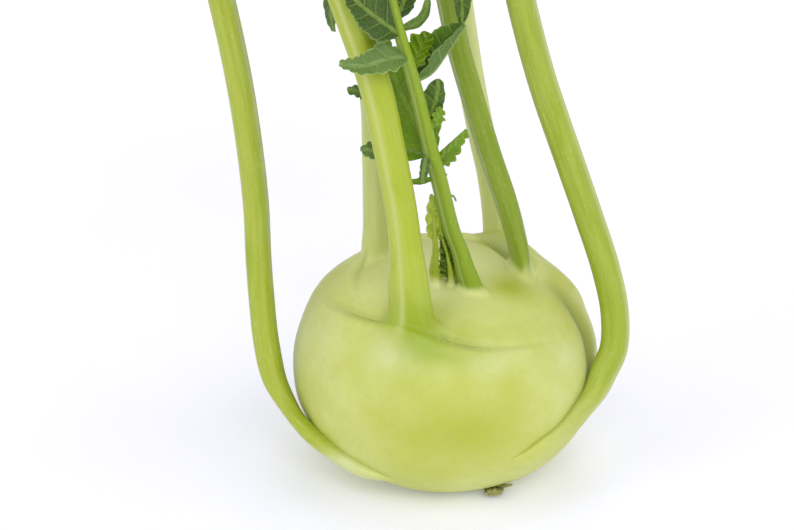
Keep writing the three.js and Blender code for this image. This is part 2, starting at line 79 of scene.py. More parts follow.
world = bpy.data.worlds.new("bright_room")
bpy.context.scene.world = world
world.use_nodes = True
floor_data = bpy.data.meshes.new("floor")
floor_half = FLOOR_SIZE / 2
floor_corners = [(-floor_half, -floor_half, 0), (floor_half, -floor_half, 0), (floor_half, floor_half, 0),
                 (-floor_half, floor_half, 0)]
floor_data.from_pydata(floor_corners, [], [(0, 1, 2, 3)])
floor = bpy.data.objects.new("floor", floor_data)
bpy.context.collection.objects.link(floor)


class Paint:
    """One value in a material's nodes. Sums, products and the like of values add Math nodes."""

    def __init__(self, tree, socket=None):
        self.tree = tree
        self.socket = socket

    def node(self, kind, settings, inputs, output=0):
        """Adds a node: its settings first, then its inputs, each a plain value or another Paint."""
        made = self.tree.nodes.new(kind)
        for name, value in settings.items():
            setattr(made, name, value)
        for name, value in inputs.items():
            if isinstance(value, Paint):
                self.tree.links.new(value.socket, made.inputs[name])
            else:
                made.inputs[name].default_value = value
        return Paint(self.tree, made.outputs[output])

    def maths(self, operation, *values):
        """A Math node with that operation on plain values and Paints."""
        return self.node("ShaderNodeMath", {"operation": operation}, dict(enumerate(values)))

    def __add__(self, other):
        return self.maths("ADD", self, other)

    def __radd__(self, other):
        return self.maths("ADD", other, self)

    def __sub__(self, other):
        return self.maths("SUBTRACT", self, other)

    def __rsub__(self, other):
        return self.maths("SUBTRACT", other, self)

    def __mul__(self, other):
        return self.maths("MULTIPLY", self, other)

    def __rmul__(self, other):
        return self.maths("MULTIPLY", other, self)

    def __truediv__(self, other):
        return self.maths("DIVIDE", self, other)

    def __rtruediv__(self, other):
        return self.maths("DIVIDE", other, self)

    def __pow__(self, other):
        return self.maths("POWER", self, other)

    def step(self, low, high):
        """0 below low, 1 above high and a smooth rise between them, as a Map Range node."""
        settings = {"interpolation_type": "SMOOTHSTEP"}
        return self.node("ShaderNodeMapRange", settings, {0: self, 1: low, 2: high})

    def blend(self, first, second):
        """The colour that goes from first to second as this value goes from 0 to 1."""
        return self.node("ShaderNodeMix", {"data_type": "RGBA"}, {0: self, 6: first, 7: second}, 2)

    def own_place(self):
        """Where a point is on its piece, in metres: the Object output of Texture Coordinate."""
        return self.node("ShaderNodeTexCoord", {}, {}, 3)

    def marks(self, *names):
        """The values that a mesh keeps at its places under these names."""
        return {name: self.node("ShaderNodeAttribute", {"attribute_name": name}, {}, 2) for name in names}

    def point(self, x, y, z):
        """The vector of three values."""
        return self.node("ShaderNodeCombineXYZ", {}, {0: x, 1: y, 2: z})

    def noise(self, place, scale, detail=2.0, roughness=0.5):
        """Smooth noise round 0.5 at a place. Scale is its waves to one unit of the place."""
        inputs = {"Vector": place, "Scale": scale, "Detail": detail, "Roughness": roughness}
        return self.node("ShaderNodeTexNoise", {}, inputs)

    def bump(self, height, distance, strength):
        """A surface on which a height of 1 stands out by a distance in metres, at a strength up to 1."""
        inputs = {"Height": height, "Distance": distance, "Strength": strength}
        return self.node("ShaderNodeBump", {}, inputs)


def rgb(red, green, blue):
    """A colour given in 0 to 255, as linear light with full alpha."""
    share = np.array([red, green, blue]) / 255.0
    linear = np.where(share <= 0.04045, share / 12.92, ((share + 0.055) / 1.055) ** 2.4)
    return (*linear.tolist(), 1.0)


def finish(name, **plain):
    """A new material: its Paint, its shader node, and the plain values put on the shader's own sockets."""
    made = bpy.data.materials.new(name)
    made.use_nodes = True
    shader = made.node_tree.nodes["Principled BSDF"]
    for socket, value in plain.items():
        shader.inputs[socket.replace("_", " ")].default_value = value
    return made, Paint(made.node_tree), shader


def lay(shader, **looks):
    """Links what changes over a surface to its shader's sockets."""
    for socket, value in looks.items():
        value.tree.links.new(value.socket, shader.inputs[socket.replace("_", " ")])


sky = world.node_tree.nodes["Background"]
sky.inputs["Strength"].default_value = SKY_STRENGTH
sky.inputs["Color"].default_value = (1.0, 1.0, 1.0, 1.0)

floor_finish, paint, shader = finish(
    "pale_sheet", Roughness=0.75, Specular_IOR_Level=0.2, Emission_Color=(0.75, 0.8, 1.0, 1.0),
    Emission_Strength=FLOOR_GLOW,
)
fibre = paint.noise(paint.own_place(), 300.0, 3.0)
lay(shader, Base_Color=fibre.blend(rgb(242, 240, 254), rgb(246, 244, 255)))
floor_data.materials.append(floor_finish)

# ---- Bulb ----
# The swollen stem is one solid body with a thin waxy skin, a squashed globe that leans to the front.
# Each leaf base swells out of it as a cushion, with a lip on the crown side of its stalk.

MM = 0.001
BULB_RADIUS = 44.0
BULB_HALF_HEIGHT = 30.6
BULB_FULLNESS = 2.25
BULB_LEAN = np.radians(11.0)
BULB_SIDE_LEAN = np.radians(2.0)
BULB_CENTRE = np.array([-1.1, 6.1, 29.6])
BULB_ROWS = 222
BULB_COLUMNS = 400
BULB_CROWDING = 1.15  # the rows stand closer at the crown: their angle goes with this power of their share
NORMAL_TURN = 0.004
LIP_WIDTH = 0.8
SOFT_LIP_WIDTH = 6.0
LIP_ROLL = 0.2
LIP_CREASE = 0.38
LIP_GAP_FADE = 2.0
CUSHION_LENGTH = 17.0
CUSHION_FADE = 16.0
TALL_CUSHION = 3.4
FURROW_DEPTH = 1.8
FURROW_WIDTH = 3.2
FURROW_FRONT = 19.8
FURROW_SLOPE = 0.93
FURROW_SPANS = ((28.0, 40.0), (-20.0, -4.0))  # where it deepens, across and upwards
FURROW_SHADE_WIDTH = 1.1 * FURROW_WIDTH
FURROW_SHADE_SPANS = ((26.0, 38.0), (-24.0, -6.0))

# bearing, distance from the axis, lip's reach to the left and right, curl to the left and right, height,
# and how wide a gap its stalk's foot leaves in the lip to either side
leaf_bases = [
    (-115.0, 25.7, 25.0, 28.0, 0.00051, 0.00036, TALL_CUSHION, 9.0),
    (26.0, 23.3, 22.0, 6.0, 0.0002, 0.003, TALL_CUSHION, 0.0),
    (59.0, 27.5, 18.0, 10.0, 0.0012, 0.0012, 1.6, 6.0),
    (138.0, 27.5, 18.0, 18.0, 0.0012, 0.0012, 1.7, 6.0),
]

# fuller places on the shoulders: which way from the centre, how wide as an angle, and how high
shoulders = [((36.0, 6.0, 17.0), 20.0, 1.0), ((-31.0, 10.0, 22.0), 16.0, 0.6)]

# the skin's marks, each a sum of bells: how strong, where from the bulb's centre, and how wide
skin_bells = {
    "bloom_and_highlight": [
        (1.3, (-17, -34, 17), (7, 8, 6)), (0.8, (12, -35, 16), (8, 8, 3.5)), (0.5, (-2, -17, 28), (6, 6, 4)),
        (1.0, (33, -24, 12), (9, 10, 11)), (0.9, (-38, -16, 12), (9, 12, 12)),
    ],
    "yellow": [(1.5, (18.5, -9.5, 28), (7.5, 6.5, 5.5)), (1.0, (4, -43, -2), (24, 12, 13))],
    "heart": [(0.8, (3, -10, 31), (6, 3, 6))],
    "collar": [
        (1.0, (-8, -34, 20), (8, 6, 5)), (0.7, (3, -35, 18), (8, 5, 3.5)), (1.0, (-9.5, -28, 27), (8, 7, 7)),
    ],
    "shade": [
        (0.6, (11.5, 19, 30), 2.4), (0.6, (14.5, 16.5, 29.5), 2.4), (0.6, (17.5, 13.5, 29), 2.4),
        (0.6, (19.8, 9.5, 28.6), 2.4), (0.6, (21, 5, 28.2), 2.4),
    ],
    # the crown's bell is painted light: it pales the crown against the shade the blades above cast on it
    "crown": [(1.0, (0, 0, 30), (24, 22, 9))],
}


def unit(vectors):
    """Each vector over its own length."""
    return vectors / np.linalg.norm(vectors, axis=-1, keepdims=True)


def rise(value, low, high):
    """0 below low, 1 above high, and 3s² − 2s³ of the share s between them."""
    share = np.clip((value - low) / (high - low), 0.0, 1.0)
    return share * share * (3.0 - 2.0 * share)


def bell(value, middle, width):
    """1 at the middle and less to both sides: e to the power of minus the squared distance in widths."""
    return np.exp(-(((value - middle) / width) ** 2))


def between(first, second, share):
    """The value that goes evenly from first to second as a share goes from 0 to 1."""
    return first + (second - first) * share


def once_round(sides):
    """Angles evenly once round, as a row."""
    return np.linspace(0.0, 2.0 * np.pi, sides, endpoint=False)[None, :]


bulb_up = np.array([np.sin(BULB_SIDE_LEAN), -np.sin(BULB_LEAN), 0.0])
bulb_up[2] = np.sqrt(1.0 - bulb_up @ bulb_up)
bulb_right = unit(np.array([1.0, 0.0, 0.0]) - bulb_up * bulb_up[0])
bulb_turn = np.stack([bulb_right, np.cross(bulb_up, bulb_right), bulb_up])


def lips(x, y):
    """For each leaf base, how far outside its lip a place is, how strong the swelling is there, how strong
    the lip's roll and crease are, and the cushion's height. The lip bends inwards with the cube of the way
    along it and dies away with the fourth power; roll and crease stop beside the stalk's foot."""
    for bearing, out, left, right, curl_left, curl_right, height, gap in leaf_bases:
        turn = np.radians(bearing)
        along = y * np.cos(turn) - x * np.sin(turn)
        curl = np.where(along > 0, curl_left, curl_right)
        from_lip = x * np.cos(turn) + y * np.sin(turn) - out + curl * np.abs(along) ** 3
        ends = np.exp(-((along / np.where(along > 0, left, right)) ** 4))
        beside = rise(np.abs(along), gap - LIP_GAP_FADE, gap + LIP_GAP_FADE) if gap else 1.0
        yield from_lip, ends, ends * beside, height


def cushions(x, y, z, lip_width):
    """How far the leaf bases swell out: from the lip outwards the swelling starts at full height and dies
    away as a bell. The lip is a little rolled, with a crease inside it."""
    swell = np.zeros_like(x)
    for from_lip, ends, lip, height in lips(x, y):
        fall = bell(np.maximum(from_lip, 0), 0, CUSHION_LENGTH)
        roll = LIP_ROLL * bell(from_lip, 1.3, 1.4)
        crease = LIP_CREASE * bell(from_lip, -1.0, 1.2)
        step = rise(from_lip, -lip_width, lip_width)
        swell += height * (ends * step * fall + lip * (roll - crease))
    return swell * rise(z, 0.0, CUSHION_FADE)


def furrow(x, y, z, width, x_span, z_span):
    """How much of the furrow on the right a place has: a bell across its slope, that grows from none to full
    over a span of x and a span of z."""
    return bell(y - FURROW_SLOPE * z, -FURROW_FRONT, width) * rise(x, *x_span) * rise(z, *z_span)


def undulation(x, y, z):
    """The skin's own gentle unevenness: a sum of slow waves in three directions, under half a millimetre."""
    slow = np.sin(0.11 * x + 0.05 * z + 0.6) * np.sin(0.09 * y - 0.07 * z + 1.1)
    quick = np.sin(0.23 * x - 0.17 * y + 0.4) * np.sin(0.19 * z + 0.21 * y + 2.0)
    return 0.3 * slow + 0.12 * quick


def globe_reach(local):
    """How many of its own lengths a vector in the bulb's turned frame needs to reach a superellipsoid, which
    is round in plan and fuller than an ellipse in height."""
    flat = np.hypot(local[..., 0], local[..., 1]) / BULB_RADIUS
    tall = np.abs(local[..., 2]) / BULB_HALF_HEIGHT
    return (flat**BULB_FULLNESS + tall**BULB_FULLNESS) ** (-1.0 / BULB_FULLNESS)


def skin_reach(rays, lip_width=LIP_WIDTH):
    """The distance from the bulb's centre to its skin along unit rays: the superellipsoid, plus what the
    cushions, shoulders, furrow and unevenness add."""
    local = rays @ bulb_turn.T
    reach = globe_reach(local)
    x, y, z = np.moveaxis(local * reach[..., None], -1, 0)
    sunk = FURROW_DEPTH * furrow(x, y, z, FURROW_WIDTH, *FURROW_SPANS)
    fuller = np.zeros_like(x)
    for towards, width, height in shoulders:
        fuller += height * np.exp(-(1 - rays @ unit(np.array(towards))) / (1 - np.cos(np.radians(width))))
    return reach + cushions(x, y, z, lip_width) + fuller - sunk + undulation(x, y, z)


def skin_place(rays, lip_width=LIP_WIDTH):
    """The skin's place and its outward normal along unit rays. The normal is the cross product of the
    steps that the skin takes as the ray turns a little in two directions."""
    first = unit(np.cross(rays, [0.31, 0.22, 0.93]))
    second = np.cross(rays, first)
    place = rays * skin_reach(rays, lip_width)[..., None]
    steps = []
    for turn in (first, second):
        turned = unit(rays + NORMAL_TURN * turn)
        steps.append(turned * skin_reach(turned, lip_width)[..., None] - place)
    return place + BULB_CENTRE, unit(np.cross(steps[0], steps[1]))


def height_over_skin(places):
    """How far places stand above the soft-lipped skin, measured along the ray from the bulb's centre."""
    from_centre = places - BULB_CENTRE
    return np.linalg.norm(from_centre, axis=-1) - skin_reach(unit(from_centre), SOFT_LIP_WIDTH)


def closed_skin(name, rings, marks, finish_made, nodes):
    """Makes a closed mesh from rings of places in millimetres, each ring a row: four-sided faces between
    rings, and a fan to the middle of the first and last ring. Marks are values for each place, for each row,
    for each side or for all, and are kept as attributes."""
    rows, sides = rings.shape[:2]
    ends = np.stack([rings[0].mean(0), rings[-1].mean(0)])
    places = np.concatenate([rings.reshape(-1, 3), ends])
    row, side = np.meshgrid(np.arange(rows - 1), np.arange(sides), indexing="ij")
    following = (side + 1) % sides
    low, high = row * sides, (row + 1) * sides
    corners = np.stack([low + side, low + following, high + following, high + side], -1).reshape(-1, 4)
    around = np.arange(sides)
    onward = (around + 1) % sides
    last = (rows - 1) * sides
    foot = np.stack([np.full(sides, rows * sides), onward, around], -1)
    tip = np.stack([np.full(sides, rows * sides + 1), last + around, last + onward], -1)
    a, b, c, d = (places[corners[:, i]] for i in range(4))
    volume = np.sum(np.cross(a, b) * c) + np.sum(np.cross(a, c) * d)
    if volume < 0:
        corners, foot, tip = corners[:, ::-1], foot[:, ::-1], tip[:, ::-1]
    mesh = bpy.data.meshes.new(name)
    loops = np.concatenate([corners.ravel(), foot.ravel(), tip.ravel()])
    counts = np.concatenate([np.full(len(corners), 4), np.full(2 * sides, 3)])
    mesh.vertices.add(len(places))
    mesh.vertices.foreach_set("co", (places * MM).ravel())
    mesh.loops.add(len(loops))
    mesh.loops.foreach_set("vertex_index", loops)
    mesh.polygons.add(len(counts))
    mesh.polygons.foreach_set("loop_start", np.concatenate([[0], np.cumsum(counts)[:-1]]))
    mesh.polygons.foreach_set("loop_total", counts)
    mesh.polygons.foreach_set("use_smooth", np.ones(len(counts), bool))
    mesh.update(calc_edges=True)
    mesh.validate()
    for mark, values in marks.items():
        values = np.broadcast_to(values, (rows, sides))
        kept = np.concatenate([values.ravel(), [values[0].mean(), values[-1].mean()]])
        mesh.attributes.new(mark, "FLOAT", "POINT").data.foreach_set("value", kept)
    mesh.materials.append(finish_made)
    made = bpy.data.objects.new(name, mesh)
    bpy.context.collection.objects.link(made)
    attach(made, "root")
    if nodes:
        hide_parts(*nodes)


def skin_marks(places):
    """What colours the skin by its place, each mark a sum of bells: whitish bloom, a yellower patch by the
    back right leaf and a yellower belly, a greener heart, the front leaf's green collar, painted shade on
    the back side of the dish, and a paler crown, which is painted light making up for the shade the blades
    cast on it. The furrow and the creases inside the lips add painted shade, and the rolled lips add a
    painted highlight along each lip to the bloom."""
    from_centre = places - BULB_CENTRE
    marks = dict.fromkeys(skin_bells, 0.0)
    for name, bells in skin_bells.items():
        for strength, spot, size in bells:
            away = np.sum(((from_centre - spot) / size) ** 2, axis=-1)
            marks[name] = marks[name] + strength * np.exp(-away)
    x, y, z = np.moveaxis(from_centre @ bulb_turn.T, -1, 0)
    marks["shade"] += furrow(x, y, z, FURROW_SHADE_WIDTH, *FURROW_SHADE_SPANS)
    for from_lip, ends, lip, height in lips(x, y):
        upward = lip * height / TALL_CUSHION * rise(z, 4.0, 16.0)
        marks["shade"] += 0.9 * upward * ends * bell(from_lip, -0.9, 0.8)
        # painted highlight: a pale line along the top of each rolled lip
        marks["bloom_and_highlight"] += 1.6 * upward * bell(from_lip, 1.2, 1.0)
    return marks


def glaze(base, *coats):
    """Lays colours over a base colour, one after another, each by its own share."""
    for share, colour in coats:
        base = share.blend(base, colour)
    return base


def skin_colour(paint, place):
    """The skin's colour at a place: pale yellow-green, mottled at three sizes, with its marks laid over."""
    broad = paint.noise(place, 28.0).step(0.35, 0.68)
    cloud = paint.noise(place, 90.0, 3.0).step(0.35, 0.7)
    fleck = paint.noise(place, 520.0).step(0.45, 0.75)
    mark = paint.marks(*skin_bells)
    colour = glaze(
        broad.blend(rgb(192, 199, 88), rgb(206, 211, 118)),
        (cloud * 0.45, rgb(214, 219, 140)),
        (fleck * 0.30, rgb(186, 196, 88)),
        # painted light: the crown is lifted paler to make up for the shade the blades above cast on it
        (mark["crown"] * 0.9, rgb(236, 240, 176)),
        (mark["yellow"] * 0.8 * (broad * 0.4 + 0.7), rgb(176, 184, 42)),
        (mark["collar"] * 0.9, rgb(154, 176, 44)),
        (mark["shade"] * 0.7, rgb(126, 142, 44)),
        # the whitish waxy bloom, together with the painted highlights along the lips
        (mark["bloom_and_highlight"] * 0.6 * (cloud * 0.5 + 0.6), rgb(212, 220, 160)),
        (mark["heart"] * 0.5, rgb(150, 172, 66)),
    )
    return colour, cloud, fleck


bulb_finish, paint, shader = finish(
    "bulb_skin", Subsurface_Weight=0.12, Subsurface_Radius=(0.9, 1.0, 0.35), Subsurface_Scale=0.0016,
    Specular_IOR_Level=0.42,
)
place = paint.own_place()
colour, cloud, fleck = skin_colour(paint, place)
pores = paint.noise(place, 1500.0)
grain = paint.noise(place, 240.0, 3.0)
lay(
    shader, Base_Color=colour, Roughness=0.40 + cloud * 0.10 + fleck * 0.05,
    Normal=paint.bump(pores * 0.35 + grain, 0.0003, 0.35),
)

down = np.pi * np.linspace(0.0, 1.0, BULB_ROWS + 2)[1:-1, None] ** BULB_CROWDING
down, turned = np.broadcast_arrays(down, once_round(BULB_COLUMNS))
bulb_rays = np.stack([np.sin(down) * np.cos(turned), np.sin(down) * np.sin(turned), np.cos(down)], -1)
bulb_rings, _ = skin_place(bulb_rays @ bulb_turn)
bulb_rings[..., 2] = np.maximum(bulb_rings[..., 2], 0.0)
closed_skin("bulb_visual", bulb_rings, skin_marks(bulb_rings), bulb_finish, ["bulb"])

# ---- Stalks of the four leaves on the shoulder ----
# Each stalk is a firm oval rod with a shallow channel on its inner face, and it runs on under its blade as
# the midrib. It grows out of its cushion: the skin turns up into it round a hollow that is wide on the
# outer side and at the ledges, and tight on the crown side.

STATIONS = 480
STALK_SIDES = 60
STALK_ROWS = 150
HOLLOW_ROWS = 24
CHANNEL_SHARE = 0.24
RIM_STEPS = ((6.0, -3.0), (2.0, 1.0), (0.5, 1.5), (0.2, 1.0), (0.06, 0.5))  # how deep and how far outwards
FOOT_TRIES = 40
FOOT_STEP = 0.6
FOOT_LIMIT = 80.0
STALK_TAPER = 0.4
STALK_TIP = (0.9, 0.8)
CHANNEL_DEPTHS = (0.9, -0.28)


def carry(points, face):
    """A smooth line through points, a centripetal Catmull-Rom spline measured evenly along its length, and a
    frame carried along it: up starts towards a face and never rolls, side is square to up and the line.
    Returns the length, and a function from distance along, across and above to places."""
    knots = np.array(points, float) + BULB_CENTRE
    knots = np.concatenate([[2 * knots[0] - knots[1]], knots, [2 * knots[-1] - knots[-2]]])
    gaps = np.linalg.norm(np.diff(knots, axis=0), axis=1) ** 0.5
    before, start, end, after = knots[:-3], knots[1:-2], knots[2:-1], knots[3:]
    gap_before, gap, gap_after = gaps[:-2, None], gaps[1:-1, None], gaps[2:, None]
    leave = (start - before) / gap_before - (end - before) / (gap_before + gap) + (end - start) / gap
    arrive = (end - start) / gap - (after - start) / (gap + gap_after) + (after - end) / gap_after
    leave, arrive = leave * gap, arrive * gap
    share = np.linspace(0.0, 1.0, 40, endpoint=False)[:, None, None]
    square = (3 * (end - start) - 2 * leave - arrive) * share**2
    line = start + leave * share + square + (2 * (start - end) + leave + arrive) * share**3
    line = np.concatenate([line.transpose(1, 0, 2).reshape(-1, 3), knots[-2:-1]])
    travelled = np.concatenate([[0.0], np.cumsum(np.linalg.norm(np.diff(line, axis=0), axis=1))])
    length = travelled[-1]
    even = np.linspace(0.0, length, STATIONS)
    centre = np.stack([np.interp(even, travelled, line[:, axis]) for axis in range(3)], -1)
    tangent = unit(np.gradient(centre, axis=0))
    ups = np.empty_like(centre)
    up = np.array(face, float)
    for station in range(STATIONS):
        up = unit(up - tangent[station] * (up @ tangent[station]))
        ups[station] = up
    rows = np.concatenate([centre, np.cross(ups, tangent), ups], axis=1)

    def place(distance, across, above):
        at = np.clip(distance / length, 0.0, 1.0) * (STATIONS - 1)
        low = np.minimum(at.astype(int), STATIONS - 2)
        part = (at - low)[..., None]
        here = rows[low] * (1 - part) + rows[low + 1] * part
        return here[..., :3] + here[..., 3:6] * across[..., None] + here[..., 6:] * above[..., None]

    return length, place


def stalk_section(distance, angle, length, leaf):
    """Across and above of a stalk's skin at a distance and an angle round it: an oval that goes from its
    foot size to its own, slims towards the blade and tapers on to the tip as the midrib, which hangs under
    the blade. Its inner face has a channel, its outer face a fainter one, and fine ridges run along it."""
    stalk = leaf["share"] * length
    grown = rise(distance, leaf["foot_from"], leaf["foot_to"])
    slim = 1.0 - STALK_TAPER * rise(distance / stalk, leaf["slim_from"], 1.0)
    tip = np.clip((distance - stalk) / (length - stalk), 0.0, 1.0)
    width = between(leaf["foot_width"], leaf["width"], grown) * slim * (1 - tip) + STALK_TIP[0] * tip
    depth = between(leaf["foot_depth"], leaf["depth"], grown) * slim * (1 - tip) + STALK_TIP[1] * tip
    across = width / 2 * np.cos(angle)
    channel = np.where(np.sin(angle) > 0, *CHANNEL_DEPTHS) * bell(across, 0, CHANNEL_SHARE * width)
    above = depth / 2 * np.sin(angle) - channel * grown * (1 - tip) ** 2
    ridges = 0.012 * np.cos(9 * angle + 0.6) + 0.008 * np.cos(17 * angle + 0.02 * distance)
    ridge = 1 + ridges * grown
    under_blade = 0.42 * depth * rise(distance / stalk, 0.94, 1.06)
    return across * ridge, above * ridge - under_blade


def stalk_marks(places, distance, angle, length, leaf, foot):
    """A stalk's own marks beside the skin's: how far along, across and above its middle a place is, in
    millimetres, how much of it is still the bulb's skin, its warmer and cooler side, how green it is, how
    much painted light pales it, and how deep in the channel of its inner and of its outer face."""
    across, above = stalk_section(distance, angle, length, leaf)
    channel = bell(across, 0, CHANNEL_SHARE * leaf["width"])
    tone = leaf.get("tone", 0.0) * across / leaf["width"]
    return {
        **skin_marks(places), "along": distance, "across": across, "above": above, "foot": foot,
        "warm": rise(tone, 0.05, 0.3), "cool": rise(-tone, 0.05, 0.4),
        "green": leaf["green"], "pale": leaf.get("pale", 0.0),
        "inner": np.where(np.sin(angle) > 0, channel, 0.0),
        "outer": np.where(np.sin(angle) < 0, channel, 0.0),
    }


def rooted_stalk(name, leaf, nodes, rows=STALK_ROWS):
    """A stalk that grows out of the skin. Above the hollow its skin is the plain section. In the hollow, a
    place of the wall at a height h over the skin, below the hollow's radius H, moves outwards along the
    skin by H − √(H² − (H − h)²), so that wall and skin meet round a quarter circle. H goes round the stalk
    from its inner to its outer value, and the first rows dive under the skin."""
    length, place = carry(leaf["path"], leaf["face"])
    angle = once_round(STALK_SIDES)
    inner, minus, plus, outer = leaf["hollow"]
    side = np.where(np.cos(angle) > 0, plus, minus)
    around = between(outer, side, rise(np.sin(angle), -1.0, -0.1))
    radius = between(around, inner, rise(np.sin(angle), 0.05, 0.75))

    def wall(distance):
        return place(distance, *stalk_section(distance, angle, length, leaf))

    quarter = np.linspace(np.pi / 2, 0.0, HOLLOW_ROWS)[:, None]
    height = radius * (1 - np.sin(quarter))
    distance = np.full_like(height, leaf["start"])
    for _ in range(FOOT_TRIES):
        distance = distance + FOOT_STEP * (height - height_over_skin(wall(distance)))
        distance = np.clip(distance, 0.0, FOOT_LIMIT)
    root = wall(distance)
    normal = skin_place(unit(root - BULB_CENTRE), SOFT_LIP_WIDTH)[1]
    outwards = root - place(distance, 0 * distance, 0 * distance)
    outwards = unit(outwards - normal * np.sum(outwards * normal, -1, keepdims=True))
    spread = root + outwards * (radius * (1 - np.cos(quarter)))[..., None]
    rays = unit(spread - BULB_CENTRE)
    settled = (1 - height / radius) ** 2
    reach = between(skin_reach(rays, SOFT_LIP_WIDTH), skin_reach(rays), settled)
    spread = BULB_CENTRE + rays * (reach + height)[..., None]
    upper = distance[-1] + (length - distance[-1]) * np.linspace(0.0, 1.0, rows)[1:, None]
    rim = []
    for depth, out in RIM_STEPS:
        ray = unit(spread[0] + outwards[0] * out - BULB_CENTRE)
        rim.append(BULB_CENTRE + ray * (skin_reach(ray) - depth)[..., None])
    rings = np.concatenate([rim, spread, wall(upper)])
    distances = np.concatenate([np.repeat(distance[:1], len(rim), 0), distance, upper])
    pale_to = leaf["pale_to"] * (1 - 0.5 * rise(np.sin(angle), 0.0, 0.6))
    foot = 1 - rise(height_over_skin(rings), 0.15 * leaf["pale_to"], pale_to)
    marks = stalk_marks(rings, distances, angle, length, leaf, foot)
    closed_skin(name, rings, marks, stalk_finish, nodes)


stalk_finish, paint, shader = finish(
    "stalk_skin", Subsurface_Weight=0.15, Subsurface_Radius=(0.9, 1.0, 0.3), Subsurface_Scale=0.0018,
    Specular_IOR_Level=0.42,
)
place = paint.own_place()
skin, cloud, _ = skin_colour(paint, place)
mark = paint.marks(
    "along", "across", "above", "foot", "green", "inner", "outer", "warm", "cool", "pale", "collar",
)
# noise on the stalk's own lengths, of which the one along it is cut short, so that its spots are drawn out
streak, patch, dash = (
    paint.noise(paint.point(mark["across"], mark["above"], mark["along"] * cut), *kind)
    for cut, *kind in ((0.035, 0.9, 3.0, 0.6), (0.25, 0.25, 3.0), (0.3, 1.6))
)
# a pale line down the middle of each channel, partly the stalk's own colour and partly a painted highlight
midline_and_highlight = mark["outer"] ** 6.0 * 0.6 + mark["inner"] * 0.12
colour = glaze(
    mark["green"].blend(rgb(190, 198, 66), rgb(124, 154, 34)),
    (streak.step(0.4, 0.72) * 0.6, mark["green"].blend(rgb(166, 183, 30), rgb(102, 134, 18))),
    (patch.step(0.5, 0.75) * 0.55, mark["green"].blend(rgb(160, 181, 28), rgb(112, 148, 26))),
    (dash.step(0.58, 0.78) * 0.35, rgb(206, 214, 124)),
    (mark["warm"] * 0.4, rgb(164, 186, 20)),
    (mark["cool"] * 0.3, rgb(184, 198, 104)),
    # painted light: the back stalks are paled as though lit more strongly from behind
    (mark["pale"], rgb(216, 221, 146)),
    (mark["collar"] * 0.95, rgb(146, 168, 12)),
    (midline_and_highlight * (streak * 0.6 + 0.5), rgb(210, 216, 142)),
    ((1.0 - patch).step(0.42, 0.72) * (1.0 - mark["green"]) * 0.25, rgb(186, 204, 116)),
    (mark["foot"], skin),
)
lay(
    shader, Base_Color=colour, Roughness=0.36 + cloud * 0.08 + streak * 0.10,
    Normal=paint.bump(streak + dash * 0.4, 0.0005, 0.4),
)

front_leaf = dict(
    path=[
        (-7.1, -19.7, 14.4), (-9.7, -25.2, 23.4), (-10.6, -26.7, 32.4), (-11.3, -26.1, 42.4),
        (-12.7, -25.7, 55.4), (-16.5, -24.7, 76.4), (-19.7, -23.7, 91.4), (-25.3, -22.7, 108.4),
        (-32.1, -22.7, 128.4), (-38.1, -23.7, 150.4), (-44.1, -31.7, 175.4), (-51.1, -50.7, 200.4),
        (-57.1, -76.7, 213.4), (-61.1, -102.7, 208.4),
    ],
    face=(0.45, 0.9, 0.0), share=0.52, width=9.0, depth=8.4, half_width=33.0,
    foot_width=13.0, foot_depth=9.0, foot_from=14.0, foot_to=40.0, slim_from=0.85,
    hollow=(2.0, 3.5, 7.0, 11.0), start=12.0, green=0.15, pale_to=5.0, tone=1.0,
)
back_right_leaf = dict(
    path=[
        (19.9, -1.2, 14.4), (21.3, 1.8, 25.4), (21.1, 3.3, 32.4), (19.5, 4.3, 39.4), (16.8, 5.3, 48.4),
        (12.3, 7.3, 61.4), (6.5, 9.3, 80.4), (3.1, 10.3, 92.4), (0.1, 11.3, 106.4), (-3.7, 12.3, 126.4),
        (-5.1, 15.3, 148.4), (2.9, 26.3, 174.4), (18.9, 41.3, 194.4), (38.9, 58.3, 204.4),
        (58.9, 75.3, 198.4),
    ],
    face=(-1.0, -0.3, 0.0), share=0.53, width=7.6, depth=7.2, half_width=31.0,
    foot_width=11.0, foot_depth=4.8, foot_from=12.0, foot_to=40.0, slim_from=0.85,
    hollow=(2.0, 1.5, 3.0, 4.0), start=10.0, green=0.7, pale_to=6.0,
)
back_leaf = dict(
    path=[
        (14.7, 21.3, 10.2), (15.7, 25.3, 22.4), (15.2, 26.8, 32.7), (13.4, 28.3, 47.4), (10.4, 29.3, 60.9),
        (6.9, 29.3, 79.4), (3.6, 27.9, 100.9), (0.4, 28.3, 121.6), (-3.1, 34.3, 140.1), (-7.1, 51.3, 160.4),
        (-11.1, 75.3, 174.4), (-14.1, 99.3, 176.4), (-16.1, 121.3, 166.4),
    ],
    face=(-0.5, -0.85, 0.0), share=0.53, width=8.0, depth=7.6, half_width=32.0,
    foot_width=9.2, foot_depth=8.0, foot_from=12.0, foot_to=28.0, slim_from=0.85,
    # its paleness is painted light, as though the stalk were lit from behind
    hollow=(1.0, 0.8, 1.2, 4.0), start=10.0, green=0.05, pale_to=4.0, pale=0.95,
)
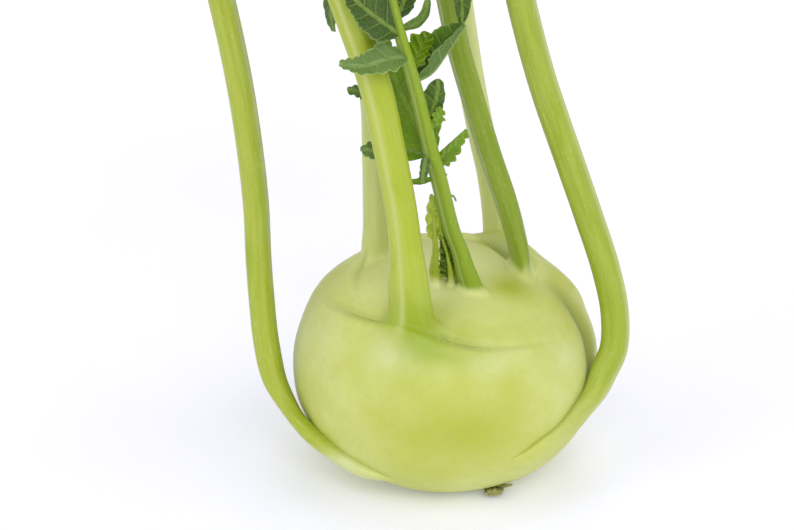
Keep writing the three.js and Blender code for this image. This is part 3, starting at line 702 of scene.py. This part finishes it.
back_left_leaf = dict(
    path=[
        (-16.1, 6.3, 14.4), (-19.7, 9.8, 26.4), (-20.1, 11.3, 38.4), (-20.3, 12.9, 58.4),
        (-20.9, 13.3, 76.4), (-23.5, 12.7, 91.4), (-27.5, 12.3, 106.4), (-33.1, 13.3, 126.4),
        (-40.1, 17.3, 148.4), (-51.1, 29.3, 172.4), (-66.1, 47.3, 192.4), (-85.1, 67.3, 200.4),
        (-104.1, 85.3, 193.4),
    ],
    face=(0.8, -0.6, 0.0), share=0.54, width=7.8, depth=7.4, half_width=31.0,
    foot_width=11.0, foot_depth=8.0, foot_from=12.0, foot_to=28.0, slim_from=0.85,
    # its paleness is painted light, as though the stalk were lit from behind
    hollow=(1.5, 2.2, 3.0, 3.5), start=10.0, green=0.1, pale_to=6.0, pale=0.75,
)
rooted_stalk("front_stalk_visual", front_leaf, ["front_stalk"])
rooted_stalk("back_right_stalk_visual", back_right_leaf, ["back_right_stalk"])
rooted_stalk("back_stalk_visual", back_leaf, ["back_stalk"])
rooted_stalk("back_left_stalk_visual", back_left_leaf, ["back_left_stalk"])

# ---- Stalks of the two old leaves ----
# The oldest leaves grow from low on the bulb. Their feet are flat straps pressed to the skin under its
# belly; they swing out past its waist and rise beside it, and there they are rods like the others.

STRAP_ROWS = 230
STRAP_CROWDING = 1.12  # the rows stand closer at the foot
STRAP_BEGIN = 16.0
STEEP_EDGE = 5.0
GENTLE_EDGE = 1.7
STRAP_SUNK = 2.0
ABOVE_FLOOR = 0.05


def hug(x, y, z, clearance):
    """A place moved along the ray from the bulb's centre to a clearance above the plain superellipsoid."""
    towards = np.array([x, y, z])
    return unit(towards) * (np.linalg.norm(towards) * globe_reach(bulb_turn @ towards) + clearance)


def strap_stalk(name, leaf, nodes):
    """A stalk whose foot hugs the skin. A hugging place lies on the ray through the flat section, at the
    clearance of the strap's middle plus its own share of the strap's depth: steep at the upper edge and
    gentle at the lower one. Farther along it becomes the plain section."""
    length, place = carry(leaf["path"], leaf["face"])
    angle = once_round(STALK_SIDES)
    distance = length * np.linspace(0.0, 1.0, STRAP_ROWS)[:, None] ** STRAP_CROWDING
    across, above = stalk_section(distance, angle, length, leaf)
    plain = place(distance, across, above)
    begun = rise(distance, 0.0, STRAP_BEGIN)
    edge = np.cos(angle) * leaf["upper_edge"]
    power = np.where(edge > 0, STEEP_EDGE, GENTLE_EDGE)
    width = leaf["strap_width"] * (0.35 + 0.65 * begun)
    shifted = width / 2 * np.cos(angle) - leaf["upper_edge"] * leaf["strap_drop"]
    flat = place(distance, shifted, 0 * shifted)
    middle = place(distance, 0 * distance, 0 * distance)
    full = (height_over_skin(middle) + leaf["foot_depth"] / 2) * begun
    held = 0.4 * rise(edge, 0.2, 1.0) * full
    outer = between(held, full, (1 - np.abs(edge) ** power) ** 0.8)
    inner = between(held, -STRAP_SUNK, np.abs(np.sin(angle)))
    lift = np.where(np.sin(angle) < 0, outer, inner) - 0.15 * (1 - begun)
    rays = unit(flat - BULB_CENTRE)
    hugging = BULB_CENTRE + rays * (skin_reach(rays) + lift)[..., None]
    free = rise(distance, leaf["free_from"], leaf["free_to"])
    rings = between(hugging, plain, free[..., None])
    rings[..., 2] = np.maximum(rings[..., 2], ABOVE_FLOOR)
    foot = 1 - rise(distance + 6 * edge, *leaf["skin_to"])
    marks = stalk_marks(rings, distance, angle, length, leaf, foot)
    marks["bloom_and_highlight"] += leaf["bloom_and_highlight"] * foot * rise(distance, 3.0, 14.0)
    marks["shade"] += leaf["strap_shade"] * foot * rise(distance, 8.0, 30.0)
    closed_skin(name, rings, marks, stalk_finish, nodes)


left_leaf = dict(
    path=[
        hug(-10.1, -34.9, -21.8, 0.1), hug(-14.3, -34.3, -21.3, 0.6), hug(-19.1, -33.1, -20.6, 1.1),
        hug(-23.7, -31.2, -19.8, 1.4), hug(-28.9, -28.6, -18.3, 1.7), hug(-33.6, -25.2, -16.5, 2.0),
        hug(-38.0, -21.2, -14.1, 2.9), hug(-41.7, -17.5, -11.0, 3.5), (-45.7, -13.1, -6.9),
        (-49.2, -9.6, -0.9), (-51.6, -6.1, 9.8), (-52.7, -4.1, 21.4), (-53.4, -3.1, 33.3),
        (-54.0, -2.1, 51.2), (-57.1, -2.7, 81.4), (-62.1, -5.7, 111.4), (-68.1, -8.7, 138.4),
        (-76.1, -12.7, 160.4), (-90.1, -18.7, 182.4), (-111.1, -24.7, 198.4), (-135.1, -29.7, 202.4),
        (-157.1, -32.7, 192.4),
    ],
    face=(0.1, 0.5, 0.85), share=0.63, width=9.0, depth=8.0, half_width=32.0,
    foot_width=7.0, foot_depth=3.2, foot_from=30.0, foot_to=62.0, slim_from=0.85,
    upper_edge=1.0, strap_width=8.0, strap_drop=0.6, free_from=26.0, free_to=48.0,
    green=0.3, bloom_and_highlight=1.4, strap_shade=0.0, skin_to=(23.0, 37.0),
)
right_leaf = dict(
    path=[
        hug(13.2, -39.4, -14.1, 0.0), hug(17.7, -38.2, -14.1, 0.4), hug(22.7, -36.3, -13.4, 0.9),
        hug(27.7, -34.0, -11.3, 1.3), hug(32.7, -30.6, -8.7, 1.6), hug(37.4, -26.7, -4.9, 2.2),
        hug(41.6, -21.3, -1.1, 2.8), hug(44.5, -16.3, 3.9, 3.8), (47.6, -13.0, 10.3), (47.8, -10.0, 20.2),
        (45.2, -8.0, 32.3), (39.3, -7.1, 50.1), (34.0, -8.6, 65.6), (25.9, -9.7, 89.4),
        (19.5, -11.7, 113.4), (14.5, -12.7, 136.4), (12.5, -13.7, 158.4), (18.9, -17.7, 182.4),
        (35.9, -24.7, 203.4), (59.9, -32.7, 214.4), (84.9, -40.7, 210.4),
    ],
    face=(-0.3, 0.7, 0.4), share=0.62, width=9.8, depth=8.4, half_width=33.0,
    foot_width=7.0, foot_depth=3.0, foot_from=16.0, foot_to=50.0, slim_from=0.85,
    upper_edge=-1.0, strap_width=10.0, strap_drop=1.2, free_from=22.0, free_to=44.0,
    green=0.45, bloom_and_highlight=0.0, strap_shade=0.4, skin_to=(18.0, 52.0),
)
strap_stalk("left_stalk_visual", left_leaf, ["left_stalk"])
strap_stalk("right_stalk_visual", right_leaf, ["right_stalk"])

# ---- Blades of the grown leaves ----
# A kohlrabi's blade is a thick waxy sheet, blue-green above and greyer below, puckered between pale veins,
# with a wavy and toothed margin. The midrib under it is the stalk itself, which runs on.

BLADE_ROWS = 150
BLADE_SIDES = 150
BLADE_FOLD = np.radians(16.0)
BLADE_THICKNESS = 0.55
VEIN_SLOPE = 0.75
VEIN_CURVE = 0.006
VEIN_COSINE = 0.8  # turns a distance along the midrib into one square to a side vein
VEIN_WIDTH = 0.8
TOOTH_RISE = 0.65


def sheet_ring(sides):
    """Round the edge of a sheet: from the right margin over the top to the left and back below. Returns the
    share across, −1 to 1, closer together near the margins, and which face it is on, 1 for the upper one
    and −1 for the lower."""
    angle = once_round(sides)
    linear = np.abs(2 * angle / np.pi - 2) - 1
    across = 0.5 * np.cos(angle) + 0.5 * np.clip(linear, -1.0, 1.0)
    return across, np.clip(3.0 * np.sin(angle), -1.0, 1.0)


def tooth(turns):
    """Teeth along a margin, one to a turn: each rises over the first 0.65 as a quarter sine, and falls back
    over the rest as a quarter cosine, so they are round with a sharp notch between."""
    part = turns - np.floor(turns)
    falling = np.cos(np.pi / 2 * (part - TOOTH_RISE) / (1 - TOOTH_RISE))
    return np.where(part < TOOTH_RISE, np.sin(np.pi / 2 * part / TOOTH_RISE), falling)


def vein_distance(along, across, spacing):
    """How far a place is from the nearest side vein. Side veins leave the midrib at even spacing, in turn on
    the left and right, and curve forward: along less 0.75 of across and a bit of its square stays the same
    all along a vein."""
    forward = along - VEIN_SLOPE * np.abs(across) - VEIN_CURVE * across**2
    turns = forward / spacing + np.where(across > 0, 0.5, 0.0)
    return np.abs(turns - np.round(turns)) * spacing * VEIN_COSINE


def leaf_sheet(name, leaf, nodes, rows=BLADE_ROWS, sides=BLADE_SIDES):
    """A leaf's sheet from its root to its tip. Its half-width follows the leaf's outline with teeth on it;
    the sheet is folded up along the midrib, waves more and more towards the margin, sinks at the veins and
    swells between them, and is thinnest at the margin. Its marks are the places on the flat leaf."""
    length, place = carry(leaf["path"], leaf["face"])
    start = leaf["share"] * length
    share = np.linspace(0.004, 0.996, rows)[:, None]
    across_share, face = sheet_ring(sides)
    own = length - start
    along = share * own
    left_right = np.where(across_share > 0, leaf["half_right"], leaf["half_left"])
    outline = leaf["outline"](share)
    widest = between(leaf["root"], left_right, outline)
    shifted = share + 0.3 / leaf["teeth"] * np.sin(0.9 * leaf["teeth"] * share + leaf["phase"])
    turns = leaf["teeth"] * shifted + np.where(across_share > 0, 0.0, 0.4)
    uneven = 1 + 0.4 * np.sin(2.3 * turns + 1.0)
    growing = rise(share, 0.0, 0.12) * (1 - 0.5 * rise(share, 0.9, 1.0))
    toothed = np.where(across_share > 0, leaf["tooth"][1], leaf["tooth"][0])
    half = widest + toothed * (tooth(turns) * uneven - 0.4) * growing * np.abs(across_share) ** 2
    half = np.maximum(half, 0.12)
    across = across_share * half
    wave = leaf["wave"] * np.sin(2 * np.pi * leaf["waves"] * share + leaf["phase"]) * np.sign(across_share)
    frill = leaf["frill"] * np.sin(2 * np.pi * leaf["waves"] * 3.3 * share + 2 * across_share)
    margin = np.abs(across_share)
    lift = np.abs(across) * np.tan(leaf["fold"]) + (wave * margin**2 + frill * margin**4) * outline
    lift = lift + leaf["cup"] * margin**2 * left_right * outline
    vein = vein_distance(along, across, leaf["vein_spacing"])
    fade = rise(margin, 0.0, 0.08) * (1 - rise(margin, 0.8, 1.0))
    from_vein = np.minimum(vein / (0.4 * leaf["vein_spacing"]), 1.0)
    sink = 0.5 * leaf["pucker"] * (np.cos(np.pi * from_vein) + bell(vein, 0, VEIN_WIDTH)) * fade
    thick = leaf["thickness"] * (1 - 0.55 * margin**3)
    rib = leaf["rib"] * (1 - 0.7 * share) * bell(across, 0, 0.35 + leaf["rib"]) * (face < 0)
    rings = place(start + along + 0 * across, across, lift - sink + face * thick / 2 - rib)
    marks = {
        "along": along, "across": across, "margin": margin, "upper": rise(face, -0.1, 0.1),
        "tint_and_backlight": leaf["tint_and_backlight"], "wax": leaf["wax"], "spacing": leaf["vein_spacing"],
    }
    closed_skin(name, rings, marks, leaf["finish"], nodes)


def blade_outline(share):
    """A grown blade's half-width as a share: it widens over its first third and narrows to a round tip, with
    five shallow lobes."""
    plain = rise(share, 0.0, 0.34) ** 0.8 * (1 - share**3) ** 0.75 * (1 - 0.25 * share)
    return plain * (1 + 0.07 * np.cos(10 * np.pi * share))


leaf_finish, paint, shader = finish(
    "leaf_blade", Subsurface_Weight=0.22, Subsurface_Radius=(0.5, 1.0, 0.15), Subsurface_Scale=0.0012,
    Specular_IOR_Level=0.35,
)
place = paint.own_place()
mark = paint.marks("along", "across", "margin", "upper", "tint_and_backlight", "wax", "spacing")
wide = paint.maths("ABSOLUTE", mark["across"])
right_half = paint.maths("GREATER_THAN", mark["across"], 0.0)
forward = mark["along"] - wide * VEIN_SLOPE - wide * wide * VEIN_CURVE
wander = paint.noise(place, 160.0) - 0.5
turns = forward / mark["spacing"] + right_half * 0.5 + wander * 0.10
away = paint.maths("PINGPONG", turns, 0.5) * mark["spacing"] * VEIN_COSINE
side_vein = (1.0 - (away / (0.30 - mark["margin"] * 0.16)).step(0.3, 1.0)) * 0.8
vein = paint.maths("MAXIMUM", side_vein, 1.0 - wide.step(0.35, 0.75))
net = paint.node(
    "ShaderNodeTexVoronoi", {"feature": "DISTANCE_TO_EDGE", "voronoi_dimensions": "2D"},
    {"Vector": paint.point(mark["along"], mark["across"], 0.0), "Scale": 0.75},
)
net_line = 1.0 - net.step(0.02, 0.12)
soft = paint.noise(place, 120.0, 3.0)
fine = paint.noise(place, 900.0)
waxy = glaze(
    # The tint runs from dark blue-green to bright yellow-green: partly the leaf's own colour, partly painted
    # light shining through thin lobes and lifting lobes that stand in shade.
    (soft * 0.6 + mark["tint_and_backlight"] - 0.3).step(0.0, 1.0).blend(rgb(46, 75, 10), rgb(124, 160, 8)),
    (net_line * 0.22, rgb(128, 154, 60)),
    (vein * 0.6, rgb(142, 170, 62)),
    (mark["wax"] * (0.5 + soft * 0.7), rgb(112, 140, 72)),
    (vein * mark["wax"] * 0.35, rgb(160, 184, 116)),
)
under = glaze(
    (mark["tint_and_backlight"] * 0.6).blend(rgb(78, 110, 40), rgb(114, 148, 26)),
    (net_line * 0.3, rgb(126, 154, 82)),
    (vein * 0.5, rgb(160, 184, 98)),
)
rim = mark["margin"].step(0.9, 1.0) * (0.25 + mark["wax"] * 0.5)
relief = net.step(0.0, 0.25) * 0.5 - side_vein * 0.7 + fine * 0.15
lay(
    shader, Base_Color=glaze(under, (mark["upper"], waxy), (rim, rgb(184, 198, 132))),
    Roughness=0.46 + soft * 0.14 - vein * 0.06, Normal=paint.bump(relief, 0.0003, 0.6),
)

blade_kind = dict(
    finish=leaf_finish, outline=blade_outline, root=2.8, teeth=19.0, tooth=(1.7, 1.7),
    wave=4.0, waves=2.5, phase=0.0, frill=1.1, fold=BLADE_FOLD, cup=0.0,
    vein_spacing=13.0, pucker=0.9, thickness=BLADE_THICKNESS, rib=0.0, wax=0.45,
)
grown_leaves = {
    "front": front_leaf, "left": left_leaf, "right": right_leaf, "back_right": back_right_leaf,
    "back": back_leaf, "back_left": back_left_leaf,
}
for number, (side_name, leaf) in enumerate(grown_leaves.items()):
    blade = blade_kind | leaf | dict(
        half_left=leaf["half_width"], half_right=leaf["half_width"], phase=0.25 * number,
        tint_and_backlight=0.12 + 0.05 * (number % 3),
    )
    leaf_sheet(side_name + "_blade_visual", blade, [side_name + "_blade"])

# ---- Young leaf ----
# The youngest open leaf stands in the crown: a thin stalk with a small end blade, and along it loose lobes
# of leaf, each a toothed and crumpled sheet with its own pale midrib. Most show their waxy back.

LOBE_ROWS = 76
LOBE_SIDES = 84
SPUR_ROWS = 36
SPUR_SIDES = 40

young_leaf = dict(
    path=[
        (7.3, -7.7, 18.4), (6.9, -11.1, 28.4), (5.1, -12.3, 34.4), (3.6, -12.7, 39.9), (1.3, -13.7, 46.4),
        (-3.1, -17.1, 65.4), (-4.9, -19.1, 72.4), (-9.2, -22.7, 91.8), (-13.0, -24.7, 106.4),
        (-15.7, -25.7, 117.4), (-17.9, -26.3, 128.4), (-19.1, -26.3, 139.4), (-17.7, -25.3, 156.4),
        (-12.1, -25.7, 174.4), (-4.1, -28.7, 190.4), (4.9, -34.7, 202.4),
    ],
    face=(0.5, 0.8, 0.0), share=0.63, width=4.9, depth=4.5,
    foot_width=6.4, foot_depth=5.8, foot_from=9.0, foot_to=26.0, slim_from=0.3,
    hollow=(1.6, 2.0, 4.0, 2.5), start=10.0, green=1.0, pale_to=2.6, tone=1.0,
)
rooted_stalk("young_stalk_visual", young_leaf, ["young_stalk"])


def lobe_outline(widened=0.3, root_power=0.7, narrowing=0.0, blunt=2.6):
    """A lobe's half-width as a share of its most: it widens to there over its root, as a power of the share
    along, narrows evenly, and closes in a point, which is shorter the blunter it is."""

    def outline(share):
        root = np.minimum(share / widened, 1.0) ** root_power
        return root * (1 - share**blunt) ** 0.7 * (1 - narrowing * share)

    return outline


young_blade = blade_kind | young_leaf | dict(
    half_left=17.0, half_right=17.0, root=1.6, teeth=13.0, tooth=(1.2, 1.2), vein_spacing=8.0, pucker=0.7,
    frill=0.9, wave=2.5, thickness=0.45, tint_and_backlight=0.4, wax=0.3,
)
leaf_sheet("young_blade_visual", young_blade, ["young_blade"])

lobe_kind = dict(
    finish=leaf_finish, share=0.0, root=0.5, outline=lobe_outline(), teeth=7.0,
    tooth=(0.7, 0.7), wave=0.7, waves=1.5, phase=0.4, frill=0.25, cup=0.0,
    vein_spacing=3.6, pucker=0.28, thickness=0.42, rib=0.35, tint_and_backlight=0.3, wax=0.1,
)

# from the lowest up: the midrib's line, which way the lobe faces, its half-widths, its fold in degrees, and
# what sets it apart from the others
young_lobes = [
    ([(-3.3, -17.0, 68.4), (0.5, -16.4, 72.0), (5.2, -15.6, 77.0)], (0.0, -1.0, 0.2), 3.6, 1.3, 8.0,
     dict(tint_and_backlight=0.7, wax=0.1, teeth=6.0, tooth=(0.8, 0.0), vein_spacing=2.6, wave=0.2,
          outline=lobe_outline(0.12, 0.7, 0.45))),
    ([(-3.7, -17.2, 63.2), (-7.7, -16.4, 62.0), (-12.0, -15.2, 61.4)], (0.0, -0.6, 0.8), 1.1, 1.1, 20.0,
     dict(tint_and_backlight=0.8, wax=0.0, teeth=3.0, tooth=(0.05, 0.05), wave=0.2, pucker=0.03, frill=0.1)),
    ([(-6.2, -20.0, 71.0), (-6.8, -21.6, 68.0), (-7.3, -22.2, 63.9)], (0.3, -1.0, 0.0), 1.5, 1.6, 25.0,
     dict(tint_and_backlight=0.1, wax=0.25, teeth=3.0, tooth=(0.0, 0.0), wave=0.2, pucker=0.1)),
    ([(-5.9, -18.6, 70.4), (-12.2, -18.0, 72.3), (-16.6, -17.8, 71.6), (-24.3, -16.6, 71.8)],
     (0.2, -1.0, 0.1), 4.0, 4.0, 6.0,
     dict(tint_and_backlight=0.25, wax=0.5, teeth=9.0, tooth=(0.6, 0.6), outline=lobe_outline(0.75, 4.5), root=0.3)),
    ([(-4.5, -15.7, 70.0), (-9.6, -8.3, 77.9), (-14.4, -5.3, 87.9), (-17.7, -4.7, 100.4)],
     (-0.3, -1.0, 0.5), 5.2, 12.0, 10.0,
     dict(tint_and_backlight=0.75, wax=0.0, teeth=13.0, tooth=(1.2, 1.2), vein_spacing=5.2, wave=1.2, rib=0.6,
          outline=lobe_outline(0.16, 0.4))),
    ([(-6.1, -20.6, 80.7), (-4.2, -18.6, 84.5), (-3.1, -18.2, 88.7), (-2.9, -18.3, 92.7)], (0.3, -1.0, 0.1),
     2.5, 5.0, 8.0,
     dict(tint_and_backlight=0.25, wax=0.05, teeth=5.0, tooth=(0.35, 0.15), frill=0.3, wave=0.3, pucker=0.3,
          vein_spacing=4.0, outline=lobe_outline(0.08, 0.5, 0.15, 6.0))),
    ([(-11.7, -25.3, 101.3), (-17.3, -29.7, 101.8), (-23.4, -32.3, 100.8), (-29.6, -32.7, 101.6)],
     (0.0, -0.8, 0.6), 5.2, 4.6, 12.0,
     dict(tint_and_backlight=0.3, wax=0.9, teeth=8.0, tooth=(0.7, 0.7), cup=0.12, vein_spacing=6.0, wave=0.9,
          outline=lobe_outline(0.3, 0.6, 0.6, 5.0))),
    ([(-9.5, -22.1, 93.0), (-4.6, -18.7, 94.6), (-0.2, -16.7, 100.0), (4.7, -14.7, 106.9)],
     (-0.6, -0.1, 0.8), 4.4, 6.4, 48.0,
     dict(tint_and_backlight=0.3, wax=0.1, teeth=9.0, tooth=(0.2, 0.3), vein_spacing=5.0, wave=0.4, pucker=0.12)),
    ([(-10.5, -22.3, 97.0), (-7.8, -17.1, 100.8), (-5.4, -14.7, 104.8)], (-0.3, -0.9, 0.3), 3.4, 3.4, 20.0,
     dict(tint_and_backlight=0.9, wax=0.0, teeth=5.0, tooth=(1.2, 1.2), frill=0.9, pucker=0.9, vein_spacing=2.6,
          outline=lobe_outline(0.2, 0.6, 0.0, 5.0))),
    ([(-12.9, -24.3, 108.6), (-8.2, -23.6, 110.0), (-6.0, -22.9, 112.8), (-5.4, -22.5, 117.5)],
     (-0.7, -0.6, 0.3), 1.7, 1.7, 40.0,
     dict(tint_and_backlight=0.4, wax=0.5, teeth=6.0, tooth=(0.0, 0.0), wave=0.2, frill=0.0)),
    ([(-13.7, -25.7, 107.8), (-18.6, -28.7, 112.5), (-23.7, -31.1, 117.4), (-28.5, -32.7, 123.0)],
     (0.4, -0.8, 0.4), 6.4, 6.0, 10.0,
     dict(tint_and_backlight=0.1, wax=0.15, teeth=10.0, tooth=(0.6, 0.6), rib=0.6, vein_spacing=4.5)),
    ([(-14.5, -24.5, 111.4), (-12.3, -19.3, 114.4), (-11.3, -15.7, 118.4)],
     (-0.3, -0.9, 0.3), 3.4, 3.4, 15.0,
     dict(tint_and_backlight=0.1, wax=0.1, teeth=5.0, tooth=(0.2, 0.2), wave=0.2,
          outline=lobe_outline(0.3, 0.7, 0.0, 6.0))),
    ([(-17.3, -25.1, 122.4), (-24.1, -14.1, 124.9), (-30.5, -12.0, 118.9), (-32.1, -12.0, 112.0),
      (-31.3, -12.3, 104.2)], (0.1, -1.0, 0.1), 3.4, 3.4, 12.0,
     dict(tint_and_backlight=0.3, wax=0.35, teeth=14.0, tooth=(0.4, 0.4), vein_spacing=5.0, wave=0.2, frill=0.1,
          outline=lobe_outline(0.3, 0.7, 0.0, 9.0))),
    ([(-17.9, -25.1, 128.4), (-7.9, -17.7, 131.8), (-1.1, -13.9, 125.9), (2.8, -12.9, 117.4),
      (3.6, -12.5, 106.5)], (0.1, -1.0, 0.1), 3.8, 3.8, 12.0,
     dict(tint_and_backlight=0.15, wax=0.1, teeth=10.0, tooth=(0.3, 0.3), vein_spacing=5.0, wave=0.2, frill=0.1,
          outline=lobe_outline(0.3, 0.7, 0.0, 9.0))),
]


def small_leaf(kind, path, face, left, right, fold, own):
    """What leaf_sheet needs for a small leaf: its kind's values, then its row of a table."""
    row = dict(path=path, face=face, half_left=left, half_right=right, fold=np.radians(fold))
    return kind | row | own


for number, row in enumerate(young_lobes, 1):
    node = f"young_lobe_{number}"
    leaf_sheet(node + "_visual", small_leaf(lobe_kind, *row), [node], LOBE_ROWS, LOBE_SIDES)

# two short spurs on the stalk, the tip of the fifth lobe's left half, and the sixth lobe's crumpled base
young_spurs = [
    ([(-2.0, -16.6, 64.5), (-1.1, -16.2, 64.6), (-0.3, -16.0, 63.8)], 0.3, dict()),
    ([(0.5, -14.6, 57.2), (1.5, -14.2, 57.0), (2.4, -14.0, 55.4)], 0.3, dict()),
    ([(-22.7, -4.1, 83.0), (-25.4, -4.3, 84.5), (-28.0, -4.5, 85.2)], 1.6,
     dict(face=(0.0, -1.0, 0.2), teeth=3.0, tooth=(0.6, 0.6), wax=0.4)),
    ([(-4.0, -20.3, 79.3), (-3.0, -20.5, 82.2), (-2.1, -20.5, 85.4)], 1.7,
     dict(face=(0.2, -1.0, 0.1), teeth=4.0, tooth=(0.8, 0.8), tint_and_backlight=1.0, frill=0.5, pucker=0.5,
          vein_spacing=2.0)),
]
for number, (path, half, own) in enumerate(young_spurs, 1):
    spur = lobe_kind | dict(
        path=path, face=(0.0, -0.6, 0.8), half_left=half, half_right=half, fold=0.3, root=0.25,
        tooth=(0.0, 0.0), wave=0.0, pucker=0.0, rib=0.0,
    )
    leaf_sheet(f"young_spur_{number}", spur | own, [], SPUR_ROWS, SPUR_SIDES)

# ---- Bud leaves ----
# At the heart of the crown the next leaves are still folded, as thin pale ribs with a frilled yellow-green
# margin, standing close against the young stalk round a dark crumpled heart.

BUD_ROWS = 70
BUD_SIDES = 60
BUD_RIB_ROWS = 50

bud_kind = dict(
    face=(0.9, 0.2, 0.0), share=0.9, foot_from=4.0, foot_to=16.0, slim_from=0.3, start=4.0,
    green=0.4, pale_to=4.0,
)
bud_ribs = [
    bud_kind | dict(
        path=[(-1.6, -6.7, 24.4), (-3.4, -9.5, 32.2), (-3.2, -11.4, 39.8), (-3.8, -12.6, 48.0),
              (-4.4, -13.4, 55.4)],
        width=3.0, depth=2.4, foot_width=5.0, foot_depth=3.6, hollow=(1.2, 2.6, 2.6, 2.0),
    ),
    bud_kind | dict(
        path=[(1.6, -9.3, 25.4), (1.2, -10.8, 31.9), (0.3, -11.3, 37.3), (-1.2, -12.0, 43.6),
              (-2.3, -12.6, 47.4)],
        width=1.2, depth=1.1, foot_width=2.4, foot_depth=2.0, hollow=(0.8, 1.0, 1.0, 1.2),
    ),
    bud_kind | dict(
        path=[(2.9, -6.7, 25.4), (2.5, -8.1, 33.0), (1.5, -9.1, 41.9)], face=(-0.9, -0.3, 0.0),
        width=1.4, depth=1.2, foot_width=2.4, foot_depth=2.0, hollow=(0.8, 1.0, 1.0, 1.2),
    ),
]
for number, rib in enumerate(bud_ribs, 1):
    rooted_stalk(f"bud_rib_{number}", rib, [f"bud_leaf_{number}"], BUD_RIB_ROWS)

bud_finish, paint, shader = finish(
    "bud_leaf", Subsurface_Weight=0.25, Subsurface_Radius=(0.5, 1.0, 0.1), Subsurface_Scale=0.001,
    Specular_IOR_Level=0.4,
)
place = paint.own_place()
mark = paint.marks("margin", "tint_and_backlight")
crumple = paint.noise(place, 620.0, 4.0, 0.6)
speck = paint.noise(place, 1900.0)
colour = glaze(
    crumple.step(0.38, 0.62).blend(rgb(80, 98, 18), rgb(146, 168, 60)),
    (speck.step(0.62, 0.72) * 0.8, rgb(186, 200, 96)),
    (mark["tint_and_backlight"], crumple.step(0.35, 0.7).blend(rgb(150, 172, 42), rgb(190, 204, 78))),
    (mark["margin"].step(0.86, 1.0) * mark["tint_and_backlight"] * 0.5, rgb(92, 122, 36)),
)
lay(
    shader, Base_Color=colour, Roughness=0.4 + crumple * 0.2,
    Normal=paint.bump(crumple + speck * 0.3, 0.0005, 0.7),
)

bud_sheet_kind = lobe_kind | dict(
    finish=bud_finish, root=0.2, frill=0.3, pucker=0.2, vein_spacing=2.0, thickness=0.3, rib=0.1, wave=0.3,
    waves=3.0, tint_and_backlight=1.0, wax=0.0,
)
# the oldest bud leaf's open top, a small crinkled tip behind it, and the crumpled heart
bud_sheets = [
    ([(-4.1, -12.4, 43.4), (-4.3, -13.4, 50.0), (-4.5, -14.2, 57.6)], (0.1, -1.0, 0.0), 2.7, 1.7, 12.0,
     dict(teeth=5.0, tooth=(0.1, 0.5), outline=lobe_outline(0.2, 0.7, 0.0), pucker=0.05, frill=0.1,
          wave=0.1)),
    ([(-1.9, -12.6, 43.6), (-1.8, -13.0, 45.6), (-1.6, -13.2, 47.6)], (0.3, -1.0, 0.1), 0.9, 0.9, 20.0,
     dict(teeth=4.0, tooth=(0.3, 0.3), frill=0.5, pucker=0.5, tint_and_backlight=0.9)),
    ([(1.3, -7.6, 29.5), (0.2, -9.0, 38.0), (-1.7, -11.2, 47.6)], (0.1, -1.0, 0.1), 3.6, 3.2, 4.0,
     dict(teeth=11.0, tooth=(0.3, 0.3), tint_and_backlight=0.0, pucker=1.1, frill=0.9, vein_spacing=1.6,
          outline=lobe_outline(0.12, 0.7, 0.55))),
]
for number, row in enumerate(bud_sheets, 1):
    leaf_sheet(f"bud_sheet_{number}", small_leaf(bud_sheet_kind, *row), [], BUD_ROWS, BUD_SIDES)

# ---- Stub of a shed leaf ----
# Under the front of the bulb the foot of a leaf that was broken off has dried to an olive, ridged lump with
# a torn beige end, and a shred of its skin runs on beside it up the bulb.

STUB_ROWS = 60
STUB_SIDES = 56


def torn_foot(name, path, widths, depths, ragged, nodes):
    """A dried foot along a path: an oval that goes from its first to its last width and depth, with ridges
    along it that deepen to the end, and an end torn back by a sum of quick waves round it."""
    length, place = carry(path, (0.0, 0.0, 1.0))
    angle = once_round(STUB_SIDES)
    share = np.linspace(0.0, 1.0, STUB_ROWS)[:, None]
    ridged = 1 + (0.05 + 0.1 * share) * np.cos(7 * angle + 3 * share) + 0.06 * np.cos(12 * angle + 1.0)
    torn = ragged * (np.cos(5 * angle + 0.7) + 0.6 * np.cos(9 * angle)) * share**3
    closing = np.sqrt(np.clip(1 - np.maximum((share - 0.93) / 0.07, 0.0) ** 2, 0.0, 1.0)) + 0.02
    width = between(*widths, share) * closing * ridged
    depth = between(*depths, share) * closing * ridged
    rings = place(share * length - torn, width / 2 * np.cos(angle), depth / 2 * np.sin(angle))
    rings[..., 2] = np.maximum(rings[..., 2], ABOVE_FLOOR)
    closed_skin(name, rings, {"share": share, "around": ridged}, stub_finish, nodes)


stub_finish, paint, shader = finish("dry_stub", Specular_IOR_Level=0.25)
place = paint.own_place()
mark = paint.marks("share", "around")
mottle = paint.noise(place, 500.0, 4.0, 0.6)
colour = glaze(
    mottle.step(0.35, 0.7).blend(rgb(112, 114, 34), rgb(168, 170, 92)),
    (mark["share"].step(0.55, 1.0) * 0.8, rgb(178, 174, 116)),
    (mark["around"].step(1.0, 1.12) * 0.5, rgb(186, 184, 128)),
)
lay(shader, Base_Color=colour, Roughness=0.6 + mottle * 0.25, Normal=paint.bump(mottle, 0.0006, 0.7))

torn_foot("base_stub_visual", [(12.8, -20.6, -28.6), (13.6, -25.2, -28.3), (13.4, -29.6, -27.7)],
          (5.6, 4.4), (2.4, 1.7), 0.35, ["base_stub"])
torn_foot("base_stub_shred", [(13.4, -22.6, -28.0), (15.6, -26.2, -26.9), (18.6, -29.4, -25.0)],
          (2.6, 1.0), (1.5, 0.7), 0.2, [])
